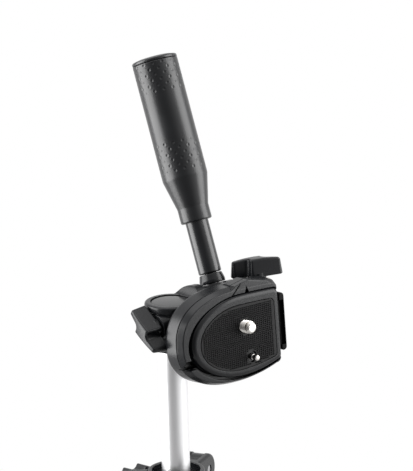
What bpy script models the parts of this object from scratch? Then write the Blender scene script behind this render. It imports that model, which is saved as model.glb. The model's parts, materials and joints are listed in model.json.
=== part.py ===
"""Mini tripod: three legs in three sections, a sliding centre column and a three way pan head.

The head is modelled as it stands in use for a portrait shot from above: the platform is tilted
forward until its face looks along -Y, and the handle points up. Sizes are in millimetres.
"""
import math

import bmesh
import bpy
from mathutils import Matrix, Vector

MM = 0.001
THROUGH = 40.0       # reach of a cutter that passes right through the head or an arm
GROUND = 150.0       # half width of the block that flattens the feet
GAP = 0.3            # between pieces that touch
PIN_GAP = 0.2        # round a pin, a stud or a shaft
WALL_GAP = 0.35      # round a tube in its clamp

# Stance
LEG_SPREAD = 24.0    # degrees from upright
LEG_AZIMUTHS = (-90.0, 30.0, 150.0)
HIP_RADIUS = 27.0    # leg pivot from the column axis
HIP_BELOW_RIM = 9.0  # leg pivot below the collar's rim

# Centre column and pan bearing, heights from the cap plane of the pan housing
COLUMN_R = 7.0
COLUMN_WALL = 1.2
RIM_BELOW_CAP = 86.8
COLUMN_LIFT = 80.0   # free length below the spider
HOUSING_R = 12.8
HOUSING_H = 23.8
SOCKET_DEPTH = 8.0   # of the column in the housing
CAP_R = 9.6
RING_H = 3.4
RING_STEP = 0.6       # ring proud of the body under it
JOURNAL_R = 5.0
WASHER_H = 1.0
RECESS_DEPTH = 6.0

# Spider
COLLAR_R = 14.0
COLLAR_H = 7.0
HUB_R = 14.0
HUB_H = 19.0
ARM_HALF = 6.4
TONGUE_HALF = 3.4
ARM_END_R = 8.0
HIP_PIN_R = 2.2

# Legs, distances along the leg from its pivot
TONGUE_R = 7.6
SHOULDER_AT = 12.0
SHOULDER_R = 9.3
SHOULDER_H = 10.0
UPPER_R = 8.4
MIDDLE_R = 6.8
LOWER_R = 5.3
LEG_WALL = 0.8
UPPER_END = 150.0
MIDDLE_SHOWS = 26.0  # of a tube below the one round it
LOWER_SHOWS = 24.0
MIDDLE_END = UPPER_END + MIDDLE_SHOWS
LOWER_END = MIDDLE_END + LOWER_SHOWS
PLUG_H = 12.0
SLEEVE_STEP = 14.0   # each inner tube starts this far below the one round it
CLAMP_H = 22.0
CLAMP_LIP = 9.7      # clamp below the end of its tube
CLAMP_SKIN = 2.3
FOOT_R = 8.0
FOOT_H = 12.0        # straight part of the foot
FOOT_FLAT = 1.6      # cut off the ball where it stands

# Flip lever of a leg clamp
LEVER_T = 2.6
LEVER_DROP = 12.5
LEVER_HALF = 3.6
LEVER_PIN_R = 1.2
LEVER_BOSS_R = 3.0
EAR_T = 2.8          # ear and its gap to the lever

# Wing knobs
KNOB_LONG = 25.4
KNOB_HUB = 4.7       # half width of its hub
KNOB_WING_T = 5.2
KNOB_H = 7.4
KNOB_NECK_R = 4.7
KNOB_EDGE = 1.3
STUD_R = 2.4
STUD_IN_KNOB = 5.0

# Tilt
TILT_BELOW_CAP = 6.0
TILT_ANGLE = 86.0    # of the platform in this pose, 0 is level
EAR_R = 11.0
EAR_RIGHT = 17.9
SHAFT_R = 4.0
SHAFT_LEFT = 9.9
DRUM_R = 8.6
DRUM_RIGHT = 40.0
TILT_WASHER_T = 0.6

# Handle, distances along it from the tilt axis
HANDLE_X = 28.6
HANDLE_LEAN = 18.0   # degrees below the platform's plane
FERRULE_AT = 8.8
FERRULE_H = 4.8
FERRULE_R = 6.4
FERRULE_TOP_R = 5.6
ROD_AT = 13.9
ROD_R = 5.7
HANDLE_STUD_R = 3.0
NECK_AT = 40.2
NECK_H = 7.4
NECK_R = 7.8
CONE_H = 15.0
GRIP_R = 11.3
GRIP_END = 121.2
END_CAP_H = 3.0

# Platform, in the tilted frame: X across, Y towards the handle, Z out of the pad
FLIP_X = 48.1
FLIP_Z = 7.5
FLIP_R = 6.5
FLIP_BOLT_R = 2.5
KNUCKLE_LOW = -9.0
KNUCKLE_HIGH = 2.0
PLATFORM_KNUCKLE = 4.5
BASE_OUTLINE = ((20.0, -11.3), 35.4, 26.6, 24.0)      # centre, left, right and half width
BASE_FULLNESS = 2.35  # exponent of its round end, 2 is an ellipse
PLATE_OUTLINE = ((22.0, -11.8), 30.6, 23.2, 20.3)
PAD_OUTLINE = ((20.0, -12.4), 23.8, 21.6, 15.9)
BASE_Z = 15.0
BASE_TOP = 23.0
SHELL_WALL = 2.4
FLOOR_TOP = 20.0
FLOOR_T = 2.2
COVER_TOP = 27.0
COVER_SLOPE = 3.4
PLATE_TOP = 28.0
PLATE_SLOPE = 2.0    # chamfer round its face
HOOD = ((12.5, 8.5), (19.5, 12.9), (27.8, 14.6), (39.3, 12.1), (43.0, 9.4), (44.0, 5.0), (32.0, 4.0))
HOOD_TOP = 26.9
HOOD_NOTCH = ((26.6, 6.0), (29.6, 6.0), (28.2, 9.0))
HOOD_GROOVE = ((19.7, 7.6), (20.1, 7.2), (28.0, 14.4), (27.6, 14.8))
WINDOW_LOW = (-12.6, -23.0, 20.6)
WINDOW_HIGH = (-3.6, -18.0, THROUGH)
PAD_T = 1.3
PAD_SINK = 0.8
SCREW_X = 23.2
SCREW_Y = -7.4
SCREW_R = 3.175
SCREW_OUT = 5.0
SCREW_HEAD_R = 8.5
SCREW_HEAD_H = 2.8
VIDEO_X = 26.2
VIDEO_Y = -23.2
VIDEO_R = 1.4
VIDEO_OUT = 3.9
VIDEO_FLANGE_R = 2.6
LEVER_X = 48.5
LEVER_Y = 2.0
QR_LEVER_T = 3.6
QR_LEVER_LONG = 27.2
QR_LEVER_TOP = 25.5
LUG_H = 1.6

# Pan and column knobs, from the column axis to the neck
PAN_KNOB_OUT = 12.9
COLUMN_KNOB_OUT = 19.4
PAN_KNOB_FORWARD = 5.4
PAN_KNOB_BELOW = 10.0
PAN_KNOB_SLANT = 33.0
COLUMN_KNOB_BELOW = 9.0
COLUMN_KNOB_SLANT = 30.0
FLIP_KNOB_SLANT = 17.0

CUT_PHASE = 2.6      # degrees that a round cutter is turned, so its facets lie on no piece's own

ALONG_X = (0.0, math.pi / 2, 0.0)
ALONG_Y = (-math.pi / 2, 0.0, 0.0)
FROM_XZ = (math.pi / 2, 0.0, 0.0)              # outline in X and Z
FROM_YZ = (math.pi / 2, 0.0, math.pi / 2)      # outline in Y and Z

LOOKS = {   # colour, roughness, metallic
    "black plastic": ((0.022, 0.024, 0.028, 1.0), 0.42, 0.0),
    "grip plastic": ((0.026, 0.027, 0.031, 1.0), 0.55, 0.0),
    "rubber": ((0.012, 0.012, 0.013, 1.0), 0.85, 0.0),
    "satin aluminium": ((0.78, 0.78, 0.79, 1.0), 0.32, 1.0),
    "nickel": ((0.72, 0.70, 0.66, 1.0), 0.22, 1.0),
    "steel": ((0.45, 0.45, 0.46, 1.0), 0.35, 1.0),
}


def clear_scene():
    for obj in list(bpy.data.objects):
        bpy.data.objects.remove(obj, do_unlink=True)


def new_collection(name):
    collection = bpy.data.collections.new(name)
    bpy.context.scene.collection.children.link(collection)
    return collection


def rad(*degrees):
    return tuple(math.radians(value) for value in degrees)


def arc(cx, cy, radius, start, end, steps):
    """Points on a circle from one angle to another, in degrees."""
    turn = [math.radians(start + (end - start) * i / steps) for i in range(steps + 1)]
    return [(cx + radius * math.cos(a), cy + radius * math.sin(a)) for a in turn]


def frame(name, parent=None, at=(0, 0, 0), rotation=(0, 0, 0)):
    """An empty that carries the pieces that move together."""
    empty = bpy.data.objects.new(name, None)
    TRIPOD.objects.link(empty)
    empty.empty_display_size = 10 * MM
    empty.parent = parent
    empty.location = [value * MM for value in at]
    empty.rotation_euler = rotation
    return empty


def finish(data, look):
    """Give a mesh or a curve its own material."""
    colour, roughness, metallic = LOOKS[look]
    material = bpy.data.materials.new(data.name)
    material.use_nodes = True
    shader = material.node_tree.nodes["Principled BSDF"]
    shader.inputs["Base Color"].default_value = colour
    shader.inputs["Roughness"].default_value = roughness
    shader.inputs["Metallic"].default_value = metallic
    data.materials.append(material)


def piece(name, mesh, look, parent, at=(0, 0, 0), rotation=(0, 0, 0)):
    """Put a mesh in the scene: a part with its own material, or a cutter if it has no look."""
    obj = bpy.data.objects.new(name, mesh)
    obj.parent = parent
    obj.location = [value * MM for value in at]
    obj.rotation_euler = rotation
    if look is None:
        CUTTERS.objects.link(obj)
        obj.hide_render = True
        obj.display_type = "WIRE"
        return obj
    TRIPOD.objects.link(obj)
    finish(mesh, look)
    return obj


def turned(name, profile, look, parent, at=(0, 0, 0), rotation=(0, 0, 0), steps=20):
    """Revolve a profile of (radius, height) that runs down the outer side."""
    mesh = bpy.data.meshes.new(name)
    edges = [(i, i + 1) for i in range(len(profile) - 1)]
    if profile[0][0] > 0:
        edges.append((len(profile) - 1, 0))
    phase = math.radians(CUT_PHASE) if look is None else 0.0
    across, aside = MM * math.cos(phase), MM * math.sin(phase)
    mesh.from_pydata([(r * across, r * aside, z * MM) for r, z in profile], edges, [])
    obj = piece(name, mesh, look, parent, at, rotation)
    screw = obj.modifiers.new("Turn", "SCREW")
    screw.steps = screw.render_steps = steps
    screw.use_merge_vertices = True
    screw.merge_threshold = 0.000001
    screw.use_smooth_shade = True
    return obj


def tube(name, outer, inner, top, bottom, look, parent, steps=14):
    return turned(name, [(outer, top), (outer, bottom), (inner, bottom), (inner, top)],
                  look, parent, steps=steps)


def prism(name, outline, low, high, look, parent, at=(0, 0, 0), rotation=(0, 0, 0),
          top_edge=0.0, low_edge=0.0, rounds=2):
    """Extrude an outline from low to high, with the rims bevelled where asked."""
    curve = bpy.data.curves.new(name, "CURVE")
    curve.dimensions = "2D"
    curve.fill_mode = "BOTH"
    curve.extrude = (high - low) / 2 * MM
    spline = curve.splines.new("POLY")
    spline.points.add(len(outline) - 1)
    spline.use_cyclic_u = True
    for point, (x, y) in zip(spline.points, outline):
        point.co = (x * MM, y * MM, 0, 1)
    blank = bpy.data.objects.new(name, curve)
    CUTTERS.objects.link(blank)
    bpy.context.view_layer.update()
    mesh = bpy.data.meshes.new_from_object(blank.evaluated_get(bpy.context.evaluated_depsgraph_get()))
    bpy.data.objects.remove(blank)
    bm = bmesh.new()
    bm.from_mesh(mesh)
    bmesh.ops.remove_doubles(bm, verts=bm.verts, dist=0.000001)
    bmesh.ops.dissolve_limit(bm, angle_limit=math.radians(0.5), verts=bm.verts, edges=bm.edges)
    bmesh.ops.translate(bm, verts=bm.verts, vec=(0, 0, (high + low) / 2 * MM))
    for width, level in ((top_edge, high), (low_edge, low)):
        if width > 0:
            rim = [e for e in bm.edges if all(abs(v.co.z - level * MM) < 1e-6 for v in e.verts)]
            bmesh.ops.bevel(bm, geom=rim, offset=width * MM, segments=rounds, profile=0.5,
                            affect="EDGES", clamp_overlap=True)
    bmesh.ops.recalc_face_normals(bm, faces=bm.faces)
    bm.to_mesh(mesh)
    bm.free()
    mesh.shade_smooth()
    mesh.set_sharp_from_angle(angle=math.radians(32))
    return piece(name, mesh, look, parent, at, rotation)


def cylinder(name, radius, low, high, look, parent, at=(0, 0, 0), rotation=(0, 0, 0), end_radius=None,
             steps=20):
    bm = bmesh.new()
    end_radius = radius if end_radius is None else end_radius
    phase = math.radians(CUT_PHASE) if look is None else 0.0
    place = Matrix.Translation((0, 0, (high + low) / 2 * MM)) @ Matrix.Rotation(phase, 4, "Z")
    bmesh.ops.create_cone(bm, cap_ends=True, segments=steps, radius1=radius * MM, radius2=end_radius * MM,
                          depth=(high - low) * MM, matrix=place)
    mesh = bpy.data.meshes.new(name)
    bm.to_mesh(mesh)
    bm.free()
    mesh.shade_smooth()
    mesh.set_sharp_from_angle(angle=math.radians(32))
    return piece(name, mesh, look, parent, at, rotation)


def box(name, low, high, look, parent, at=(0, 0, 0), rotation=(0, 0, 0)):
    bm = bmesh.new()
    bmesh.ops.create_cube(bm, size=1.0)
    for vert in bm.verts:
        vert.co = [(lo + hi) / 2 * MM + (hi - lo) * MM * c for lo, hi, c in zip(low, high, vert.co)]
    mesh = bpy.data.meshes.new(name)
    bm.to_mesh(mesh)
    bm.free()
    return piece(name, mesh, look, parent, at, rotation)


def boolean(obj, tool, operation):
    modifier = obj.modifiers.new(tool.name, "BOOLEAN")
    modifier.operation = operation
    modifier.solver = "EXACT"
    modifier.object = tool


def cut(obj, *tools):
    for tool in tools:
        boolean(obj, tool, "DIFFERENCE")


def join(obj, *tools):
    for tool in tools:
        boolean(obj, tool, "UNION")


def rounded(corners, steps=2):
    """A closed outline through (x, y, radius) corners, each rounded by its radius."""
    path = []
    for i, (x, y, radius) in enumerate(corners):
        point = Vector((x, y))
        before = Vector(corners[i - 1][:2]) - point
        after = Vector(corners[(i + 1) % len(corners)][:2]) - point
        reach = radius / math.tan(before.angle(after) / 2)
        start, end = point + before.normalized() * reach, point + after.normalized() * reach
        for k in range(steps + 1):
            t = k / steps
            path.append(tuple(start * (1 - t) ** 2 + point * 2 * t * (1 - t) + end * t ** 2))
    return path


def wing_outline():
    """A square hub with two wings, one in line with its front and one with its back."""
    tip = KNOB_LONG / 2
    inner = KNOB_WING_T - KNOB_HUB
    half = [(-KNOB_HUB, -KNOB_HUB, 1.6), (tip, 0.5 - KNOB_HUB, 1.8), (tip, inner - 0.3, 1.8),
            (KNOB_HUB, inner + 0.3, 0.8)]
    return rounded(half + [(-x, -y, radius) for x, y, radius in half])


def wing_knob(name, parent, neck_h, slant, stud=0.0):
    """A wing knob that stands on its neck at the frame's origin: on a moulded-in stud, or with a hole."""
    turn = (0, 0, math.radians(slant))
    knob = prism(name, wing_outline(), neck_h, neck_h + KNOB_H, "black plastic", parent,
                 rotation=turn, top_edge=KNOB_EDGE, low_edge=KNOB_EDGE, rounds=1)
    neck = turned(name + "_neck", [(0, neck_h + 2), (KNOB_NECK_R, neck_h + 2), (KNOB_NECK_R, 0), (0, 0)],
                  None, parent, steps=16)
    join(knob, neck)
    if stud:
        join(knob, cylinder(name + "_stud", STUD_R, -stud, 1, None, parent, steps=10))
    else:
        hole = cylinder(name + "_hole", FLIP_BOLT_R + PIN_GAP, -1, STUD_IN_KNOB + GAP, None, parent, steps=12)
        cut(knob, hole)
    return knob


def d_outline(shape, grow=0.0, corner=3.0, low_taper=0.22, high_taper=0.04, fullness=2.0, steps=19):
    """A flat-sided D: a round end on the left, edges that draw in to the right, two round corners."""
    (centre_x, centre_y), left, right, half = shape
    left, right, half = left + grow, right + grow, half + grow
    power = 2 / fullness
    points = []
    for i in range(steps + 1):
        a = math.pi / 2 + math.pi * i / steps
        side = math.sin(a)
        points.append((-left * abs(math.cos(a)) ** power, math.copysign(half * abs(side) ** power, side)))
    straight = right - corner

    def edge(x, taper):
        return half * (1 - taper * (x / right) ** 2)

    for taper, sign in ((low_taper, -1), (high_taper, 1)):
        bend = [(straight * i / 3, sign * edge(straight * i / 3, taper)) for i in (1, 2)]
        bend += arc(straight, sign * (edge(straight, taper) - corner), corner, 90 * sign, 0, 3)
        points += bend if sign < 0 else reversed(bend)
    return [(centre_x + x, centre_y + y) for x, y in points]


# Tripod, column and pan bearing

def spider_and_column(root):
    rim = hip_height() + HIP_BELOW_RIM
    body = frame("spider_frame", root, (0, 0, rim))
    low = -COLLAR_H - HUB_H
    spider = turned("spider", [(0, 1 - COLLAR_H), (HUB_R, 1 - COLLAR_H), (HUB_R, low + 2), (HUB_R - 2, low),
                               (0, low)], "black plastic", body, steps=28)
    hip = -HIP_BELOW_RIM
    outline = [(HUB_R - 4, -1.0), (HIP_RADIUS + 1, -1.0)]
    outline += arc(HIP_RADIUS, hip, ARM_END_R, 78, -90, 5)
    outline += [(HUB_R - 4, hip - ARM_END_R - 1.5)]
    for azimuth in LEG_AZIMUTHS:
        turn = (math.pi / 2, 0, math.radians(azimuth))
        tag = "arm_%d" % azimuth
        arm = prism(tag, outline, -ARM_HALF, ARM_HALF, None, body, rotation=turn,
                    top_edge=1.5, low_edge=1.5, rounds=1)
        join(spider, arm)
    lock_at = (0, 0, -COLUMN_KNOB_BELOW - 1)
    boss = cylinder("lock_boss", 6.5, COLUMN_R + 2, COLUMN_KNOB_OUT - GAP, None, body, lock_at, ALONG_Y,
                    steps=12)
    join(spider, boss)
    cut(spider, cylinder("collar_seat", COLLAR_R + 0.5, -COLLAR_H - GAP, 5, None, body, steps=28))
    for azimuth in LEG_AZIMUTHS:
        turn = (0, 0, math.radians(azimuth))
        slot = box("slot_%d" % azimuth, (HIP_RADIUS - TONGUE_R - 1.6, -TONGUE_HALF - GAP, -40),
                   (HIP_RADIUS + 20, TONGUE_HALF + GAP, 5), None, body, rotation=turn)
        hole = cylinder("hip_hole_%d" % azimuth, HIP_PIN_R + PIN_GAP, -ARM_HALF - 1, ARM_HALF + 1, None,
                        body, hip_point(azimuth, hip), hip_turn(azimuth), steps=10)
        cut(spider, slot, hole)
    bore = cylinder("column_bore", COLUMN_R + WALL_GAP, -60, 20, None, body, steps=24)
    stud_hole = cylinder("lock_hole", STUD_R + PIN_GAP, COLUMN_R - 1, THROUGH, None, body, lock_at, ALONG_Y,
                         steps=10)
    cut(spider, bore, stud_hole)

    inner = COLUMN_R + WALL_GAP
    turned("column_collar", [(COLLAR_R - 0.6, 0), (COLLAR_R, -0.6), (COLLAR_R, -COLLAR_H),
                             (inner, -COLLAR_H), (inner, -5.0), (COLLAR_R - 2.0, -5.0), (COLLAR_R - 2.0, 0)],
           "black plastic", body, steps=24)
    for number, azimuth in enumerate(LEG_AZIMUTHS, 1):
        cylinder("leg_%d_pivot_pin" % number, HIP_PIN_R, 0.4 - ARM_HALF, ARM_HALF - 0.4, "steel", body,
                 hip_point(azimuth, hip), hip_turn(azimuth), steps=12)

    knob_axis = frame("column_knob_axis", body, (0, COLUMN_KNOB_OUT, -COLUMN_KNOB_BELOW - 1), ALONG_Y)
    stud = COLUMN_KNOB_OUT - COLUMN_R - WALL_GAP
    wing_knob("column_lock_knob", knob_axis, 3.5, COLUMN_KNOB_SLANT, stud)

    slide = frame("column_axis", body)
    top = RIM_BELOW_CAP - HOUSING_H + SOCKET_DEPTH
    foot = -COLLAR_H - HUB_H - COLUMN_LIFT
    bore_r = COLUMN_R - COLUMN_WALL
    tube("centre_column", COLUMN_R, bore_r, top, foot, "satin aluminium", slide, steps=28)
    plug = bore_r - GAP
    turned("column_foot", [(0, foot + 9), (plug - 1, foot + 9), (plug, foot + 8), (plug, foot - GAP),
                           (COLUMN_R + 1.6, foot - GAP), (COLUMN_R + 1.6, foot - 3), (COLUMN_R, foot - 4.5),
                           (0, foot - 4.5)], "black plastic", slide, steps=18)
    cap = RIM_BELOW_CAP
    bearing = cap - RECESS_DEPTH
    turned("column_spigot", [(1.9, bearing - 0.2), (JOURNAL_R, bearing - 0.2), (JOURNAL_R, top + 2.4),
                             (COLUMN_R, top + 2.4), (COLUMN_R, top + GAP), (plug, top + GAP),
                             (plug, top - 14), (1.9, top - 14)], "black plastic", slide, steps=14)
    return slide


def pan_stage(slide):
    """The housing that turns on the spigot, with the upright that holds the tilt shaft."""
    pan = frame("pan_axis", slide, (0, 0, RIM_BELOW_CAP))
    wall = HOUSING_R - RING_STEP
    drum = [(0, 0), (HOUSING_R - 1.8, 0), (HOUSING_R - 0.6, -0.5), (HOUSING_R, -1.8), (HOUSING_R, -RING_H),
            (wall, -RING_H - 0.4), (wall, -19), (wall - 1.6, -HOUSING_H), (0, -HOUSING_H)]
    housing = turned("pan_housing", drum, "black plastic", pan, steps=30)
    axis_z = -TILT_BELOW_CAP
    crest = axis_z + EAR_R
    swell = [(4.0, -2.0), (8.6, -0.6)]
    for i in range(7):
        share = i / 6
        swell.append((9.2 + 5.0 * share, -0.3 + (crest + 0.2) * (1 - math.cos(math.pi * share)) / 2))
    swell += [(EAR_RIGHT, crest), (EAR_RIGHT, axis_z - EAR_R)]
    swell += [(EAR_RIGHT - 5, 2 - HOUSING_H), (4.0, 2 - HOUSING_H)]
    upright = prism("upright", swell, -EAR_R - 2, EAR_R + 2, None, pan, rotation=FROM_XZ)
    shell = arc(0, axis_z, EAR_R, 0, 180, 14) + [(-EAR_R, -HOUSING_H - 2), (EAR_R, -HOUSING_H - 2)]
    sides = prism("upright_sides", shell, 0, EAR_RIGHT + 1, None, pan, rotation=FROM_YZ)
    boolean(upright, sides, "INTERSECT")
    pad_x = PAN_KNOB_OUT - GAP
    boss = cylinder("pan_boss", 7.0, -pad_x + 5, pad_x, None, pan, (0, -PAN_KNOB_FORWARD, -PAN_KNOB_BELOW),
                    (0, -math.pi / 2, 0), end_radius=6.2, steps=16)
    join(housing, upright, boss)
    step = -RECESS_DEPTH
    deep = -HOUSING_H + SOCKET_DEPTH + 2.4 + GAP
    bore = turned("housing_bore", [(0, 1), (CAP_R + GAP, 1), (CAP_R + GAP, -3.2), (CAP_R - 1.5, -3.2),
                                   (CAP_R - 1.5, step), (JOURNAL_R + GAP, step), (JOURNAL_R + GAP, deep),
                                   (COLUMN_R + GAP, deep), (COLUMN_R + GAP, -HOUSING_H - 1),
                                   (0, -HOUSING_H - 1)], None, pan, steps=22)
    shaft_bore = cylinder("shaft_bore", SHAFT_R + PIN_GAP, SHAFT_LEFT - GAP, EAR_RIGHT + 1, None, pan,
                          (0, 0, axis_z), ALONG_X, steps=14)
    stud_bore = cylinder("pan_stud_bore", STUD_R + PIN_GAP, -PAN_KNOB_OUT + 6.0, 20, None, pan,
                         (0, -PAN_KNOB_FORWARD, -PAN_KNOB_BELOW), (0, -math.pi / 2, 0), steps=10)
    cut(housing, bore, shaft_bore, stud_bore)

    turned("pan_washer", [(JOURNAL_R + 2.2, step + GAP + WASHER_H), (JOURNAL_R + 2.2, step + GAP),
                          (2.4, step + GAP), (2.4, step + GAP + WASHER_H)], "steel", pan, steps=14)
    seat = step + 2 * GAP + WASHER_H
    turned("pan_pivot_screw", [(0, seat + 1.2), (3.6, seat + 1.2), (4.4, seat + 0.6), (4.4, seat),
                               (1.7, seat), (1.7, step - 14), (0, step - 14)], "steel", pan, steps=12)
    turned("pan_cap", [(0, -0.1), (CAP_R - 1.0, -0.2), (CAP_R, -0.7), (CAP_R, -2.9), (0, -2.9)],
           "black plastic", pan, steps=24)

    knob_axis = frame("pan_knob_axis", pan, (-PAN_KNOB_OUT, -PAN_KNOB_FORWARD, -PAN_KNOB_BELOW),
                      (0, -math.pi / 2, 0))
    wing_knob("pan_lock_knob", knob_axis, 0.5, 90 - PAN_KNOB_SLANT, stud=6.0)

    cylinder("tilt_shaft", SHAFT_R, SHAFT_LEFT, DRUM_RIGHT - 4, "steel", pan, (0, 0, axis_z), ALONG_X,
             steps=14)
    washer_x = EAR_RIGHT + GAP
    turned("tilt_washer", [(EAR_R - 2, washer_x + TILT_WASHER_T), (EAR_R - 2, washer_x),
                           (SHAFT_R + PIN_GAP, washer_x), (SHAFT_R + PIN_GAP, washer_x + TILT_WASHER_T)],
           "steel", pan, (0, 0, axis_z), ALONG_X, steps=18)
    return pan


def tilt_stage(pan):
    """The drum on the tilt shaft, with the socket of the handle and the platform's hinge."""
    tilt = frame("tilt_axis", pan, (0, 0, -TILT_BELOW_CAP), rad(TILT_ANGLE, 0, 0))
    drum_left = EAR_RIGHT + 2 * GAP + TILT_WASHER_T
    body = turned("tilt_body", [(0, DRUM_RIGHT), (DRUM_R - 1.5, DRUM_RIGHT), (DRUM_R, DRUM_RIGHT - 1.5),
                                (DRUM_R, drum_left), (0, drum_left)], "black plastic", tilt,
                  rotation=ALONG_X, steps=30)
    handle_turn = rad(-90 - HANDLE_LEAN, 0, 0)
    socket = cylinder("handle_boss", 8.2, 3, FERRULE_AT - GAP, None, tilt, (HANDLE_X, 0, 0), handle_turn,
                      end_radius=6.8, steps=18)
    arm = [(DRUM_RIGHT - 8, -8), (DRUM_RIGHT, -8), (FLIP_X + 2, FLIP_Z - FLIP_R + 0.4)]
    arm += arc(FLIP_X, FLIP_Z, FLIP_R, -55, 95, 7)
    arm += [(DRUM_RIGHT - 4, 9.0), (DRUM_RIGHT - 8, 6)]
    hinge_arm = prism("hinge_arm", arm, -KNUCKLE_HIGH, -KNUCKLE_LOW, None, tilt, rotation=FROM_XZ)
    join(body, socket, hinge_arm)
    shaft_bore = cylinder("drum_bore", SHAFT_R + PIN_GAP, drum_left - 1, DRUM_RIGHT - 4 + GAP, None, tilt,
                          rotation=ALONG_X, steps=14)
    stud_bore = cylinder("handle_bore", HANDLE_STUD_R + PIN_GAP, SHAFT_R + 1.0, 30, None, tilt,
                         (HANDLE_X, 0, 0), handle_turn, steps=12)
    bolt_bore = cylinder("hinge_bore", FLIP_BOLT_R + PIN_GAP, -THROUGH, THROUGH, None, tilt,
                         (FLIP_X, 0, FLIP_Z), ALONG_Y, steps=12)
    cut(body, shaft_bore, stud_bore, bolt_bore)
    handle(tilt, handle_turn)
    platform(tilt)


def handle(tilt, handle_turn):
    axis = frame("handle_axis", tilt, (HANDLE_X, 0, 0), handle_turn)
    top = FERRULE_AT + FERRULE_H
    turned("handle_ferrule", [(FERRULE_TOP_R, top), (FERRULE_R, FERRULE_AT + 1.6), (FERRULE_R, FERRULE_AT),
                              (HANDLE_STUD_R + PIN_GAP, FERRULE_AT), (HANDLE_STUD_R + PIN_GAP, top)],
           "black plastic", axis, steps=24)
    inside = GRIP_END - 60
    turned("handle_rod", [(0, inside), (ROD_R, inside), (ROD_R, ROD_AT + 0.8), (ROD_R - 0.8, ROD_AT),
                          (HANDLE_STUD_R + 1.2, ROD_AT), (HANDLE_STUD_R + 1.2, top + GAP),
                          (HANDLE_STUD_R, top + GAP), (HANDLE_STUD_R, SHAFT_R + 1.4), (0, SHAFT_R + 1.4)],
           "black plastic", axis, steps=18)
    cone = NECK_AT + NECK_H
    bore = ROD_R + PIN_GAP
    end_plug = GRIP_R - 3.0
    turned("handle_grip", [(GRIP_R, GRIP_END), (GRIP_R, cone + CONE_H), (NECK_R, cone),
                           (NECK_R - 0.3, cone - 1.0), (NECK_R, NECK_AT + 1.0), (NECK_R - 1.0, NECK_AT),
                           (bore, NECK_AT), (bore, inside + GAP), (end_plug, inside + 3), (end_plug, GRIP_END)],
           "grip plastic", axis, steps=26)
    lip = GRIP_END + END_CAP_H
    inner = end_plug - GAP
    turned("handle_end_cap", [(0, lip), (GRIP_R - 2.6, lip - 0.1), (GRIP_R - 0.9, lip - 0.8),
                              (GRIP_R, lip - 2.0), (GRIP_R, GRIP_END + GAP), (inner, GRIP_END + GAP),
                              (inner, GRIP_END - 8), (0, GRIP_END - 8)], "grip plastic", axis, steps=24)


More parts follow.
